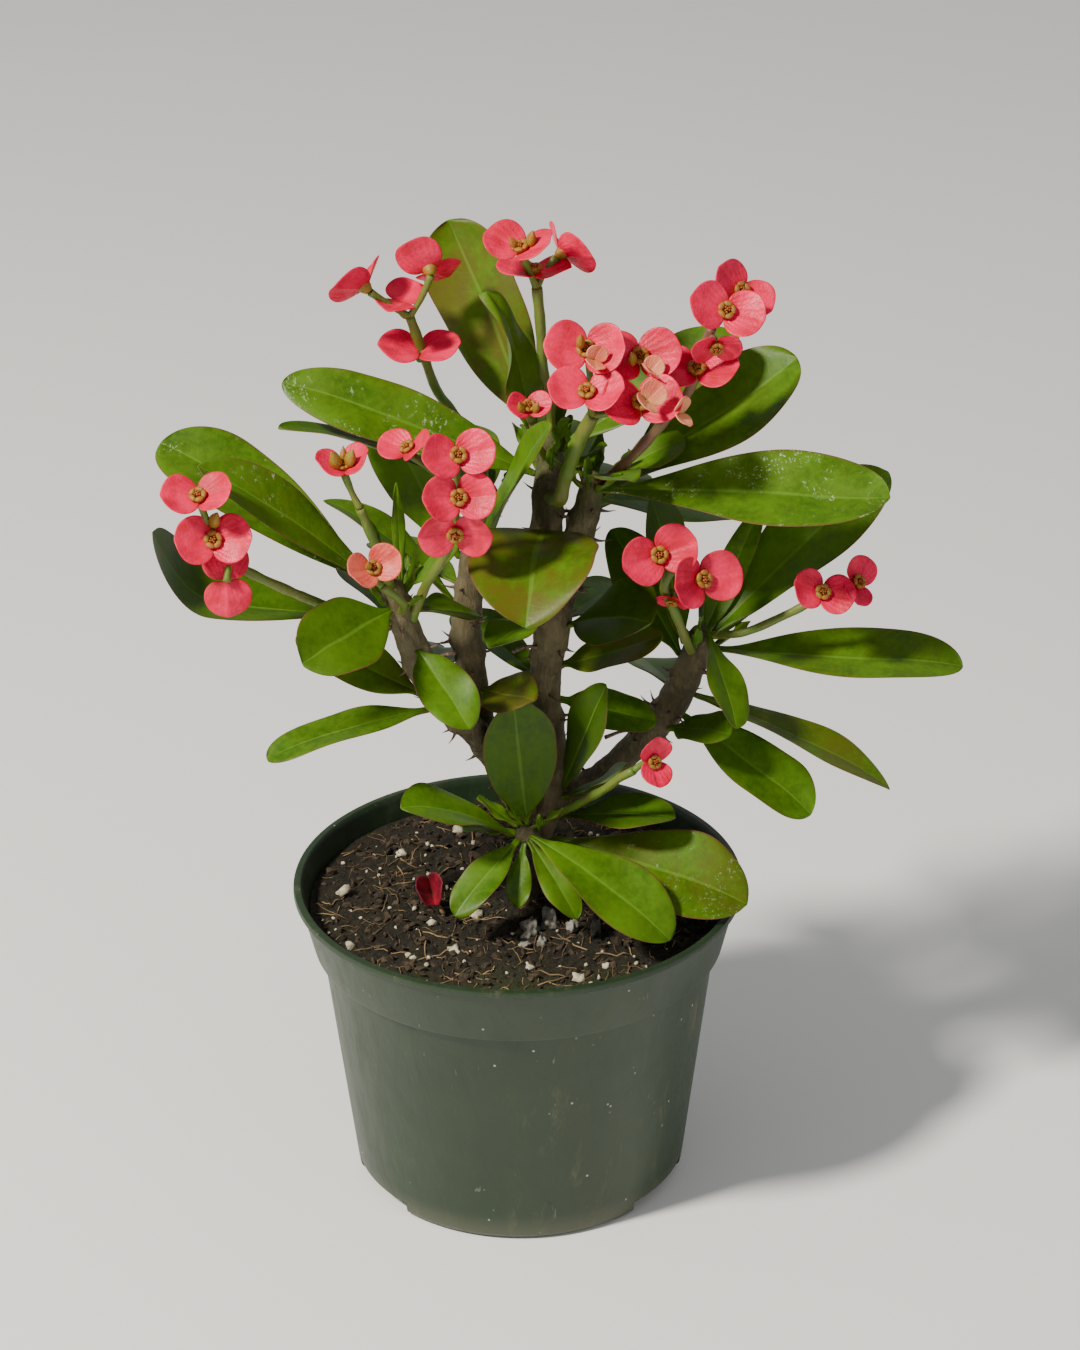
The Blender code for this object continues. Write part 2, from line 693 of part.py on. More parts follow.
def direction_of(azimuth, elevation):
    azimuth = math.radians(azimuth)
    elevation = math.radians(elevation)
    flat = math.cos(elevation)
    return Vector((flat * math.cos(azimuth), flat * math.sin(azimuth), math.sin(elevation)))


def frame_along(forward, roll):
    """The sideways and upward directions of a blade that points forward, after its roll."""
    side = Z_AXIS.cross(forward).normalized()
    turn = Matrix.Rotation(math.radians(roll), 3, forward)
    side = turn @ side
    return side, forward.cross(side)


def blade_half_width(t, width, broadest):
    """Half the blade's width at this share of its length."""
    rise = LEAF_TIP_ROUNDNESS * broadest / (1 - broadest)
    peak = broadest**rise * (1 - broadest) ** LEAF_TIP_ROUNDNESS
    least = PETIOLE_HALF_WIDTH if t < broadest else TIP_HALF_WIDTH
    return max(least, width / 2 * t**rise * (1 - t) ** LEAF_TIP_ROUNDNESS / peak)


def arch(t, bend):
    """How far along and above its chord a blade that bends evenly is, for a chord of 1."""
    turn = math.radians(bend)
    if abs(turn) < 0.01:
        return t, 0.0
    chord = 2 * math.sin(turn / 2)
    along = (math.sin(turn / 2) - math.sin(turn * (0.5 - t))) / chord
    above = (math.cos(turn * (0.5 - t)) - math.cos(turn / 2)) / chord
    return along, above


def add_leaf(row):
    """One leaf: a creased blade on its curve, thickened evenly."""
    name, branch, along, azimuth, rise, length, width, roll, bend, broadest = row
    forward = direction_of(azimuth, rise)
    side, up = frame_along(forward, roll)
    base = surface_point(branch, along, forward, ATTACH_GAP)
    lift = math.tan(math.radians(LEAF_FOLD))
    shape = bmesh.new()
    rows = []
    for t in LEAF_STATIONS:
        ahead, above = arch(t, bend)
        middle = base + (forward * ahead + up * above) * length * PLANT_SCALE
        half = blade_half_width(t, width, broadest) * PLANT_SCALE
        rows.append(
            [
                shape.verts.new(middle + side * half * across + up * half * lift * abs(across))
                for across in (-1, 0, 1)
            ]
        )
    for start, end in zip(rows, rows[1:]):
        for column in range(2):
            shape.faces.new(
                (start[column], end[column], end[column + 1], start[column + 1])
            )
    leaf = object_from_bmesh(name, shape, smooth_angle=60)
    blade = leaf.modifiers.new("thickness", "SOLIDIFY")
    blade.thickness = LEAF_THICKNESS * PLANT_SCALE
    blade.offset = 0.0
    return dress(leaf, "leaf")


# Flowers


def disc(name, radius, thickness, sides, matrix):
    """A flat round piece, placed by the matrix."""
    shape = bmesh.new()
    bmesh.ops.create_cone(
        shape, cap_ends=True, segments=sides, radius1=radius, radius2=radius, depth=thickness
    )
    bmesh.ops.transform(shape, matrix=matrix, verts=shape.verts)
    return object_from_bmesh(name, shape)


def head_frame(point, azimuth, elevation, spin):
    """The head's frame: Z is where it faces, X is the line through its two bracts."""
    facing = direction_of(azimuth, elevation)
    pair, _ = frame_along(facing, spin)
    cross = facing.cross(pair)
    turn = Matrix((pair, cross, facing)).transposed().to_4x4()
    return Matrix.Translation(plant_point(point)) @ turn


def head_pieces(name, head):
    """The cup and two bracts of one flower head, and the point at which its stalk meets the cup."""
    point, azimuth, elevation, spin, radius, opening = head
    frame = head_frame(point, azimuth, elevation, spin)
    size = PLANT_SCALE
    cup = bmesh.new()
    bmesh.ops.create_cone(
        cup,
        cap_ends=True,
        segments=CUP_SIDES,
        radius1=CUP_BASE_RADIUS * size,
        radius2=CUP_TOP_RADIUS * size,
        depth=CUP_HEIGHT * size,
    )
    cup_turn = Matrix.Rotation(math.radians(CUP_TURN), 4, "Z")
    bmesh.ops.transform(cup, matrix=frame @ cup_turn, verts=cup.verts)
    pieces = [object_from_bmesh(f"{name}_cup", cup)]
    for hand, share in ((-1, 1), (1, 1 - BRACT_DIFFERENCE)):
        tilt = Matrix.Rotation(math.radians(-hand * opening), 4, "Y")
        shift = Matrix.Translation((hand * radius * share * (1 - BRACT_OVERLAP) * size, 0, 0))
        turn = Matrix.Rotation(math.radians(hand * BRACT_TURN * share), 4, "Z")
        pieces.append(
            disc(
                f"{name}_bract_{hand + 1}",
                radius * share * size,
                BRACT_THICKNESS * size,
                BRACT_SIDES,
                frame @ tilt @ shift @ turn,
            )
        )
    root = frame @ Vector((0, 0, -CUP_HEIGHT * size * CUP_ROOT))
    return pieces, root


def nearest(points, target):
    """The point of a path that is closest to the target."""
    return min(points, key=lambda spot: (spot.xyz - target).length)


def with_radius(point, radius):
    """A path point: place and radius."""
    return Vector((*point, radius * PLANT_SCALE))


def add_cluster(name, stalk_points, stalk_radius, heads, kind):
    """One stalk with its flower heads, joined into one body."""
    path = smooth_points(
        [with_radius(point, stalk_radius) for point in stalk_points], STALK_SPACING * PLANT_SCALE
    )
    cluster = tube(name, path, STALK_BEVEL_RESOLUTION)
    for number, head in enumerate(heads):
        label = f"{name}_{number}"
        pieces, root = head_pieces(label, head)
        fork = nearest(path, root).xyz
        ends = [with_radius(fork, PEDICEL_RADIUS), with_radius(root, PEDICEL_RADIUS)]
        pieces.append(tube(f"{label}_pedicel", ends, STALK_BEVEL_RESOLUTION))
        for piece in pieces:
            boolean(cluster, piece, "UNION", solver="MANIFOLD")
    return dress(cluster, kind)


def add_flowers():
    for name, branch, along, stalk_radius, stalk, heads in FLOWERS:
        points = [plant_point(point) for point in stalk]
        centre = place_on_branch(branch, along)[0]
        gap = stalk_radius + STALK_ATTACH_GAP
        start = surface_point(branch, along, points[0] - centre, gap)
        add_cluster(name, [start, *points], stalk_radius, heads, "flower")
    fallen = [plant_point(point) for point in FALLEN_STALK]
    add_cluster("fallen_flower", fallen, FALLEN_STALK_RADIUS, [FALLEN_HEAD], "dried_flower")


def main():
    clear_scene()
    add_pot()
    add_soil()
    add_stems()
    for row in LEAVES:
        add_leaf(row)
    add_flowers()


main()
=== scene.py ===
"""Looks of the potted crown-of-thorns euphorbia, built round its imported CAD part.

Metres, +Z up. Plant points are given from the pot's axis and the soil's surface.
"""

import math
import random

import bmesh
import bpy
from mathutils import Matrix, Vector, noise


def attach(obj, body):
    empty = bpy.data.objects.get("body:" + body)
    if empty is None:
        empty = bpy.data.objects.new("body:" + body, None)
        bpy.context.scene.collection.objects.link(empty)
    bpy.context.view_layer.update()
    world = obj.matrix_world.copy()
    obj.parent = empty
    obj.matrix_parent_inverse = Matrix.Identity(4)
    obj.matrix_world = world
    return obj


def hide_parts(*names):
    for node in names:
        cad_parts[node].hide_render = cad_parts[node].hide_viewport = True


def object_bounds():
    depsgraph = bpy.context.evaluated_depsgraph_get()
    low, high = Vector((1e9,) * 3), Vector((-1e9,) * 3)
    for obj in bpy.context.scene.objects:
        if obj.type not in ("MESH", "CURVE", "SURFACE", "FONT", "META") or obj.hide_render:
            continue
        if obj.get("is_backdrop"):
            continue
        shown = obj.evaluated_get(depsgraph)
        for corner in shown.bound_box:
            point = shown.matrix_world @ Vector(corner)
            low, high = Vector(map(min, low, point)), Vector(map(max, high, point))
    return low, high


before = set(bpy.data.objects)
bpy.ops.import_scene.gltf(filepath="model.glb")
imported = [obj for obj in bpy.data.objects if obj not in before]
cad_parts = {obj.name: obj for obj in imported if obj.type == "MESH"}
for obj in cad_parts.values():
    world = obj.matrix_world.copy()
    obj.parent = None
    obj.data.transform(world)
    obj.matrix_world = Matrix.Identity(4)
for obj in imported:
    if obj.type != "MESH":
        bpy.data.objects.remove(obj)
CAD_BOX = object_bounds()

BODY = "root"
Z_AXIS = Vector((0, 0, 1))

# Pot and soil, as in the CAD part
POT_HEIGHT = 0.113
RIM_RADIUS = 0.079
LIP_WIDTH = 0.002
LIP_HEIGHT = 0.0025
BAND_HEIGHT = 0.021
BAND_TAPER = 0.0045
BAND_STEP = 0.0032
FOOT_RADIUS = 0.059
FOOT_CORNER = 0.003
WALL = 0.0015
FLOOR = 0.0018
SOIL_TOP = POT_HEIGHT - 0.009

# Leaf and flower shapes, as in the CAD part
ATTACH_GAP = 0.0016
LEAF_TIP_ROUNDNESS = 0.55
LEAF_FOLD = 12
PETIOLE_HALF_WIDTH = 0.0013
TIP_HALF_WIDTH = 0.0003
BRACT_OVERLAP = 0.15

# Each branch: centre points (x, y, height above soil) and the radius at each
BRANCHES = {
    "leader": (
        ((0.002, -0.004, -0.006), 0.0047), ((0.002, -0.004, 0.000), 0.0046),
        ((0.005, -0.002, 0.015), 0.0042), ((0.008, 0.000, 0.027), 0.0046),
        ((0.011, 0.002, 0.039), 0.0055), ((0.012, 0.003, 0.052), 0.0058),
        ((0.010, 0.002, 0.080), 0.0055), ((0.011, 0.001, 0.096), 0.0058),
        ((0.013, 0.000, 0.110), 0.0066), ((0.012, 0.002, 0.128), 0.0057),
        ((0.011, 0.003, 0.142), 0.0053), ((0.011, 0.004, 0.154), 0.0052),
        ((0.012, 0.005, 0.166), 0.0045), ((0.012, 0.005, 0.176), 0.0035),
    ),
    "right_crown": (
        ((0.013, 0.000, 0.106), 0.0052), ((0.017, 0.000, 0.126), 0.0052),
        ((0.022, 0.000, 0.142), 0.0052), ((0.025, 0.000, 0.154), 0.0046),
        ((0.026, 0.000, 0.164), 0.0034),
    ),
    "left_branch": (
        ((0.008, 0.000, 0.027), 0.0040), ((0.000, -0.002, 0.042), 0.0045),
        ((-0.008, -0.005, 0.059), 0.0045), ((-0.016, -0.010, 0.074), 0.0050),
        ((-0.027, -0.015, 0.090), 0.0060), ((-0.034, -0.020, 0.108), 0.0052),
        ((-0.038, -0.022, 0.123), 0.0045), ((-0.041, -0.024, 0.136), 0.0035),
    ),
    "rear_branch": (
        ((-0.009, -0.005, 0.061), 0.0040), ((-0.013, 0.001, 0.074), 0.0050),
        ((-0.016, 0.006, 0.092), 0.0055), ((-0.017, 0.009, 0.105), 0.0052),
        ((-0.014, 0.013, 0.126), 0.0050), ((-0.010, 0.014, 0.146), 0.0045),
        ((-0.010, 0.014, 0.154), 0.0035),
    ),
    "right_branch": (
        ((0.011, 0.002, 0.039), 0.0045), ((0.025, 0.008, 0.041), 0.0050),
        ((0.035, 0.010, 0.049), 0.0050), ((0.045, 0.010, 0.060), 0.0052),
        ((0.054, 0.008, 0.073), 0.0058), ((0.060, 0.006, 0.089), 0.0052),
        ((0.064, 0.005, 0.104), 0.0038),
    ),
    "sprout": (
        ((0.007, -0.001, 0.024), 0.0030), ((0.004, -0.009, 0.029), 0.0038),
        ((0.002, -0.014, 0.035), 0.0040),
    ),
}

# Each leaf: name, branch, place along it, azimuth, rise, length, width, roll, bend, broadest place
LEAVES = (
    ("crown_tall_leaf",         "leader",       0.99,  135,  59, 0.077, 0.036, -72,   8, 0.68),
    ("crown_curled_leaf",       "leader",       1.00, -168,  78, 0.054, 0.015, -60,   0, 0.60),
    ("crown_left_upper_leaf",   "leader",       0.92,  179,  22, 0.088, 0.023, -45,  12, 0.62),
    ("rear_long_leaf",          "rear_branch",  1.00, -168,  24, 0.070, 0.014,   0,  18, 0.60),
    ("rear_upright_leaf",       "rear_branch",  0.72,  153,  59, 0.058, 0.024, -80,   0, 0.60),
    ("rear_short_leaf",         "rear_branch",  0.56,  166,  37, 0.054, 0.018,   0,  25, 0.60),
    ("rear_forward_leaf",       "rear_branch",  0.81,  -59,  54, 0.071, 0.018,  60,   0, 0.55),
    ("rear_yellow_leaf",        "rear_branch",  0.23,  -54,  16, 0.029, 0.019,  30,   0, 0.55),
    ("left_broad_leaf",         "left_branch",  0.95,  159,  29, 0.090, 0.032, -22,  15, 0.72),
    ("left_curled_edge_leaf",   "left_branch",  1.00, -168,  41, 0.075, 0.025, -26,  12, 0.65),
    ("left_spoon_leaf",         "left_branch",  0.88,  179,   7, 0.079, 0.036,  -8, -10, 0.80),
    ("left_oval_leaf",          "left_branch",  0.92, -130,  -4, 0.041, 0.028, -35,  10, 0.60),
    ("left_shaded_leaf",        "left_branch",  0.61,  179,  29, 0.045, 0.020, -40,   0, 0.60),
    ("left_low_leaf",           "left_branch",  0.57, -165, -10, 0.056, 0.018,  -8,  12, 0.60),
    ("left_knob_leaf",          "left_branch",  0.77,  -51, -33, 0.031, 0.019,  20,  10, 0.50),
    ("left_inner_leaf",         "left_branch",  0.87,   31, -20, 0.026, 0.020,   0,  10, 0.60),
    ("crown_olive_leaf",        "leader",       0.82,  -98, -14, 0.050, 0.044,   0,  55, 0.50),
    ("centre_small_leaf",       "leader",       0.64, -138,  -5, 0.021, 0.018,   0,  20, 0.55),
    ("centre_dark_leaf",        "leader",       0.64,  -34,  16, 0.032, 0.034,  20,  30, 0.65),
    ("centre_olive_leaf",       "leader",       0.55,  -15,  24, 0.036, 0.020,  20, -15, 0.55),
    ("centre_low_leaf",         "leader",       0.46,   -3, -14, 0.032, 0.016,  35,  10, 0.55),
    ("trunk_upright_leaf",      "leader",       0.30,  -41,  68, 0.046, 0.018,  75,   0, 0.60),
    ("trunk_right_leaf",        "leader",       0.23,  -16,   8, 0.040, 0.020,  10,   5, 0.65),
    ("trunk_folded_leaf",       "leader",       0.27,  -20,  38, 0.027, 0.013,   0, -30, 0.60),
    ("trunk_low_leaf",          "leader",       0.18,  -20, -10, 0.071, 0.034,  25,  15, 0.70),
    ("sprout_tall_leaf",        "sprout",       1.00, -150,  84, 0.046, 0.027, -103,  0, 0.60),
    ("sprout_left_leaf",        "sprout",       1.00, -157,  26, 0.043, 0.024, -10,  25, 0.68),
    ("sprout_front_leaf",       "sprout",       0.99,  -32, -23, 0.059, 0.027,  15,  20, 0.65),
    ("sprout_lower_leaf",       "sprout",       0.93, -136, -30, 0.033, 0.014, -20,  20, 0.60),
    ("crown_right_upper_leaf",  "right_crown",  0.86,   21,  27, 0.079, 0.034,  25,  10, 0.70),
    ("crown_back_leaf",         "leader",       0.97,   17,  29, 0.069, 0.024,  25,   0, 0.65),
    ("crown_front_leaf",        "right_crown",  0.90,  -15,   3, 0.096, 0.034,  25,  12, 0.68),
    ("crown_behind_leaf",       "right_crown",  0.81,   38, -18, 0.064, 0.024,  20,   0, 0.60),
    ("crown_inner_leaf",        "right_crown",  1.00,  -66,  20, 0.028, 0.016,   0,   0, 0.50),
    ("crown_round_leaf",        "right_crown",  0.97,    9,  24, 0.029, 0.018,  20,   0, 0.75),
    ("right_long_leaf",         "right_branch", 0.92,   -6,  -1, 0.085, 0.028,  15,  -5, 0.68),
    ("right_lower_leaf",        "right_branch", 0.72,  -13, -22, 0.073, 0.020,   0,  10, 0.60),
    ("right_hanging_leaf",      "right_branch", 0.63,  -23, -31, 0.054, 0.024,  25,  10, 0.65),
    ("right_bright_leaf",       "right_branch", 0.59,  -46,  16, 0.027, 0.017,  20,  10, 0.60),
    ("right_blue_leaf",         "right_branch", 0.99,  -74, -31, 0.037, 0.016, -30,   0, 0.60),
    ("right_rising_leaf",       "right_branch", 0.96,   22,  38, 0.082, 0.032,  20,  10, 0.65),
    ("right_inward_leaf",       "right_branch", 0.87,  163,  62, 0.048, 0.022, -40,   0, 0.60),
    ("right_rear_leaf",         "right_branch", 0.94, -155,  78, 0.055, 0.022, -60,   0, 0.60),
)

# Each flower cluster: name, branch, place along it, stalk radius, the stalk's points and its heads.
# A head is: point, azimuth and elevation it faces, spin, bract radius, opening of the bracts.
FLOWERS = (
    (
        "left_front_flowers", "left_branch", 0.86, 0.0017,
        (
            (-0.029, -0.028, 0.136), (-0.023, -0.030, 0.147), (-0.020, -0.033, 0.158),
            (-0.018, -0.031, 0.172),
        ),
        (
            ((-0.018, -0.034, 0.184), -80, 40, 5, 0.0072, 20),
            ((-0.018, -0.040, 0.172), -80, 30, 0, 0.0072, 20),
            ((-0.034, -0.024, 0.182), -140, 60, 20, 0.0060, 25),
            ((-0.019, -0.040, 0.160), -90, -5, 0, 0.0070, 15),
        ),
    ),
    (
        "far_left_flowers", "left_branch", 0.86, 0.0016,
        (
            (-0.058, -0.029, 0.127), (-0.077, -0.038, 0.140), (-0.091, -0.044, 0.151),
            (-0.096, -0.045, 0.157),
        ),
        (
            ((-0.101, -0.048, 0.176), -100, 58, 12, 0.0070, 22),
            ((-0.097, -0.048, 0.161), -85, 35, 0, 0.0075, 20),
            ((-0.093, -0.050, 0.148), 95, -15, 88, 0.0072, 10),
        ),
    ),
    (
        "left_bud_flowers", "left_branch", 1.00, 0.0016,
        ((-0.045, -0.031, 0.150), (-0.050, -0.034, 0.166)),
        (((-0.055, -0.034, 0.180), -100, 70, 20, 0.0060, 35),),
    ),
    (
        "left_faded_flower", "left_branch", 0.90, 0.0014,
        ((-0.037, -0.038, 0.134), (-0.043, -0.043, 0.142)),
        (((-0.046, -0.045, 0.149), -75, 45, 15, 0.0060, 30),),
    ),
    (
        "upper_left_flowers", "rear_branch", 0.97, 0.0017,
        (
            (-0.012, 0.021, 0.164), (-0.020, 0.021, 0.176), (-0.026, 0.017, 0.187),
            (-0.030, 0.012, 0.202), (-0.034, 0.009, 0.216),
        ),
        (
            ((-0.048, 0.004, 0.228), 150, 35, 0, 0.0075, 25),
            ((-0.027, 0.009, 0.232), 100, 32, 50, 0.0075, 20),
            ((-0.037, 0.008, 0.221), -60, 80, 40, 0.0065, 15),
            ((-0.031, 0.009, 0.203), -90, 75, 0, 0.0080, 15),
        ),
    ),
    (
        "top_flowers", "leader", 0.99, 0.0018,
        (
            (0.012, 0.007, 0.184), (0.010, 0.005, 0.198), (0.009, 0.004, 0.216),
            (0.008, 0.003, 0.228),
        ),
        (
            ((0.003, -0.003, 0.243), -120, 66, 0, 0.0075, 25),
            ((0.016, 0.008, 0.238), 30, 25, 0, 0.0075, 20),
            ((0.007, 0.003, 0.233), -90, 85, 0, 0.0070, 12),
        ),
    ),
    (
        "upper_right_flowers", "right_crown", 0.93, 0.0017,
        (
            (0.035, -0.007, 0.168), (0.043, -0.008, 0.177), (0.051, -0.008, 0.187),
            (0.058, -0.007, 0.196), (0.062, -0.006, 0.209), (0.065, -0.006, 0.217),
        ),
        (
            ((0.074, -0.002, 0.228), -60, 35, -50, 0.0068, 20),
            ((0.069, -0.012, 0.225), -80, 35, -20, 0.0075, 20),
            ((0.066, -0.011, 0.213), -80, -20, 0, 0.0050, 15),
            ((0.060, -0.009, 0.203), -90, 60, 0, 0.0080, 15),
        ),
    ),
    (
        "centre_flowers", "leader", 0.88, 0.0024,
        (
            (0.015, -0.010, 0.158), (0.017, -0.011, 0.166), (0.021, -0.015, 0.180),
            (0.026, -0.019, 0.192),
        ),
        (
            ((0.024, -0.017, 0.214), -100, 35, 0, 0.0080, 20),
            ((0.024, -0.028, 0.203), -100, 55, 0, 0.0075, 20),
            ((0.041, -0.014, 0.210), -80, 40, 0, 0.0080, 20),
            ((0.041, -0.027, 0.199), -80, 45, 0, 0.0080, 20),
        ),
    ),
    (
        "crown_bud_flower", "leader", 0.95, 0.0012,
        ((0.007, -0.004, 0.178), (0.006, -0.008, 0.185)),
        (((0.005, -0.010, 0.191), -80, 50, 0, 0.0046, 25),),
    ),
    (
        "right_front_flowers", "right_branch", 0.90, 0.0016,
        (
            (0.058, -0.004, 0.103), (0.054, -0.008, 0.115), (0.050, -0.011, 0.126),
            (0.053, -0.011, 0.133),
        ),
        (
            ((0.048, -0.015, 0.140), -85, 25, 20, 0.0078, 20),
            ((0.062, -0.017, 0.132), -60, 20, 0, 0.0080, 20),
            ((0.053, -0.011, 0.122), -110, -40, 0, 0.0034, 15),
        ),
    ),
    (
        "far_right_flowers", "right_branch", 0.97, 0.0014,
        ((0.078, -0.002, 0.105), (0.091, -0.004, 0.112), (0.100, -0.006, 0.118)),
        (
            ((0.103, -0.010, 0.123), -75, 40, -20, 0.0065, 20),
            ((0.115, -0.004, 0.124), -50, 35, 50, 0.0055, 20),
        ),
    ),
    (
        "low_flower", "leader", 0.22, 0.0015,
        ((0.029, -0.015, 0.051), (0.035, -0.019, 0.058), (0.040, -0.021, 0.062)),
        (((0.046, -0.024, 0.067), -60, 20, 80, 0.0055, 30),),
    ),
)

FALLEN_STALK = ((-0.026, -0.011, 0.0005), (-0.029, -0.008, 0.0035))
FALLEN_HEAD = ((-0.030, -0.006, 0.0055), -100, 50, 20, 0.0055, 60)
FALLEN_STALK_RADIUS = 0.0008

# Leaf looks that differ from the plain green leaf: wave of the margin in metres, curl of the tip in
# degrees, twist in degrees, and shares of olive, painted shade and scratched surface
# The painted shade share is a darker green that stands in for the shade on leaves deep in the crown
PLAIN_LEAF = {"wave": 0.0009, "curl": 8, "twist": 0, "olive": 0.12, "dark": 0.0, "scratch": 0.0}
LEAF_LOOKS = {
    "crown_tall_leaf": {"wave": 0.0018, "olive": 0.75, "curl": -15},
    "crown_curled_leaf": {"wave": 0.0032, "twist": 50, "curl": 30, "olive": 0.2},
    "crown_left_upper_leaf": {"scratch": 0.7, "wave": 0.0010},
    "crown_olive_leaf": {"olive": 0.8, "wave": 0.0012, "curl": 4},
    "crown_front_leaf": {"scratch": 0.9, "curl": -12, "wave": 0.0010},
    "crown_right_upper_leaf": {"wave": 0.0020, "olive": 0.2, "curl": -14},
    "left_broad_leaf": {"scratch": 0.8, "wave": 0.0010},
    "left_curled_edge_leaf": {"scratch": 0.6, "olive": 0.25},
    "left_spoon_leaf": {"curl": -62, "olive": 0.15, "dark": 0.3},
    "rear_long_leaf": {"dark": 0.6},
    "rear_yellow_leaf": {"olive": 1.0},
    "left_shaded_leaf": {"olive": 0.45},
    "left_oval_leaf": {"dark": 0.25},
    "centre_olive_leaf": {"olive": 0.7},
    "centre_dark_leaf": {"dark": 0.5},
    "trunk_upright_leaf": {"dark": 0.8},
    "trunk_right_leaf": {"dark": 0.4},
    "trunk_low_leaf": {"olive": 0.5, "scratch": 0.4, "wave": 0.0012},
    "sprout_tall_leaf": {"dark": 0.3},
    "right_lower_leaf": {"olive": 0.6},
    "right_blue_leaf": {"dark": 0.3, "twist": 15},
    "right_inward_leaf": {"dark": 0.6},
    "right_rear_leaf": {"dark": 0.6},
    "right_long_leaf": {"olive": 0.2},
}

# Leaves too small for the CAD part, in the same form as LEAVES
SMALL_LEAVES = (
    ("left_young_leaf",      "left_branch", 1.00,  100,  82, 0.031, 0.0045, 0, 0, 0.45),
    ("left_young_leaf_pair", "left_branch", 1.00,  160,  70, 0.024, 0.0050, 0, 8, 0.45),
    ("left_bright_leaf",     "left_branch", 0.97,    0,  52, 0.030, 0.0120, 60, 0, 0.55),
    ("crown_bud_leaf",       "leader",      1.00,   60,  75, 0.014, 0.0050, 0, 10, 0.50),
    ("crown_bud_leaf_pair",  "leader",      1.00,  -60,  62, 0.012, 0.0060, 0, 15, 0.50),
    ("sprout_tip_leaf",      "sprout",      1.00,   60,  75, 0.012, 0.0040, 0, 0, 0.45),
    ("sprout_front_small",   "sprout",      0.80, -100, -55, 0.020, 0.0090, 0, 10, 0.60),
    ("sprout_right_small",   "sprout",      0.85,  -50, -38, 0.030, 0.0120, 15, 12, 0.60),
    ("sprout_left_small",    "sprout",      0.95,  175,   5, 0.016, 0.0100, 0, 10, 0.60),
    ("sprout_yellow_small",  "sprout",      1.00,  150,  28, 0.015, 0.0060, 0, -20, 0.50),
    ("right_narrow_leaf",    "right_branch", 0.98, 40,  58, 0.045, 0.0110, 40, 0, 0.45),
)

# Leaves on the far side, as full as those in front, in the same form as LEAVES
BACK_LEAVES = (
    ("back_crown_leaf",        "leader",       0.86,   84,   6, 0.058, 0.026, 15, 12, 0.66),
    ("back_crown_low_leaf",    "leader",       0.72,  118,  -4, 0.050, 0.024, 20, 12, 0.64),
    ("back_leader_leaf",       "leader",       0.62,   62,  -8, 0.046, 0.022, 10, 10, 0.62),
    ("back_leader_low_leaf",   "leader",       0.50,  128,  10, 0.044, 0.020, 0, 10, 0.62),
    ("back_right_crown_leaf",  "right_crown",  0.70,   74,  -6, 0.052, 0.024, 15, 12, 0.66),
    ("back_right_leaf",        "right_branch", 0.88,   66,   8, 0.056, 0.025, 15, 10, 0.66),
    ("back_right_low_leaf",    "right_branch", 0.66,  104, -12, 0.048, 0.022, 10, 10, 0.64),
    ("back_left_leaf",         "left_branch",  0.80,  112,   4, 0.054, 0.024, 15, 12, 0.66),
    ("back_left_low_leaf",     "left_branch",  0.62,   84, -14, 0.044, 0.020, 10, 10, 0.62),
    ("back_rear_leaf",         "rear_branch",  0.86,   98,  14, 0.054, 0.024, 15, 12, 0.66),
    ("back_rear_low_leaf",     "rear_branch",  0.60,  130,   0, 0.046, 0.022, 10, 10, 0.64),
)

# Flower heads whose cup has dropped or is hidden inside folded bracts: cluster and place in its list
CUPLESS = (
    ("upper_left_flowers", 2),
    ("upper_left_flowers", 3),
    ("far_left_flowers", 2),
    ("fallen_flower", 0),
)

# Young cream bracts that open inside older ones, as heads of the same form as in FLOWERS
YOUNG_HEADS = {
    "centre_flowers": (
        ((0.026, -0.024, 0.213), -60, 35, 60, 0.0034, 45),
        ((0.044, -0.022, 0.208), -40, 50, 20, 0.0034, 45),
        ((0.043, -0.034, 0.203), -50, 40, 30, 0.0042, 35),
        ((0.053, -0.030, 0.197), -30, 20, 70, 0.0036, 40),
    ),
}

# Closed buds: point, azimuth and elevation it points to, and length
BUDS = {
    "left_bud_flowers": (
        ((-0.057, -0.036, 0.182), -140, 70, 0.0075),
        ((-0.053, -0.036, 0.183), -40, 72, 0.0070),
        ((-0.055, -0.033, 0.183), 90, 75, 0.0055),
    ),
    "crown_bud_flower": (
        ((0.003, -0.012, 0.191), -120, 60, 0.0055),
        ((0.007, -0.012, 0.191), -50, 60, 0.0050),
    ),
    "left_faded_flower": (((-0.047, -0.047, 0.151), -90, 50, 0.0045),),
    "far_left_flowers": (((-0.097, -0.046, 0.166), -50, 60, 0.0075),),
    "centre_flowers": (
        ((0.022, -0.020, 0.217), -90, 60, 0.0065),
        ((0.039, -0.020, 0.211), -110, 60, 0.0060),
    ),
    "top_flowers": (
        ((0.006, -0.004, 0.246), -60, 70, 0.0065),
        ((0.001, -0.004, 0.245), -150, 60, 0.0050),
    ),
}

# Small pointed leaves that crowd each growing tip: branch, count and longest
TIP_LEAVES = (
    ("leader", 6, 0.016),
    ("right_crown", 7, 0.018),
    ("right_branch", 6, 0.015),
    ("left_branch", 5, 0.013),
    ("rear_branch", 4, 0.013),
    ("sprout", 5, 0.011),
)

# Degrees from each tip leaf to the next
SPIRAL_TURN = 137.5

# Dry stubs of old flower stalks: branch, place along it, azimuth, rise and length
DRY_TWIGS = (
    ("right_branch", 0.62, -165, 12, 0.020),
    ("right_branch", 0.50, -150, 5, 0.015),
    ("right_branch", 0.80, -20, 0, 0.010),
    ("leader", 0.58, -140, 10, 0.012),
    ("left_branch", 0.70, -20, 30, 0.010),
)

SCATTER_SEED = 11


# Node materials


def new_material(name):
    """A material and its tree, with only a Principled shader and an output."""
    material = bpy.data.materials.new(name)
    material.use_nodes = True
    return material, material.node_tree


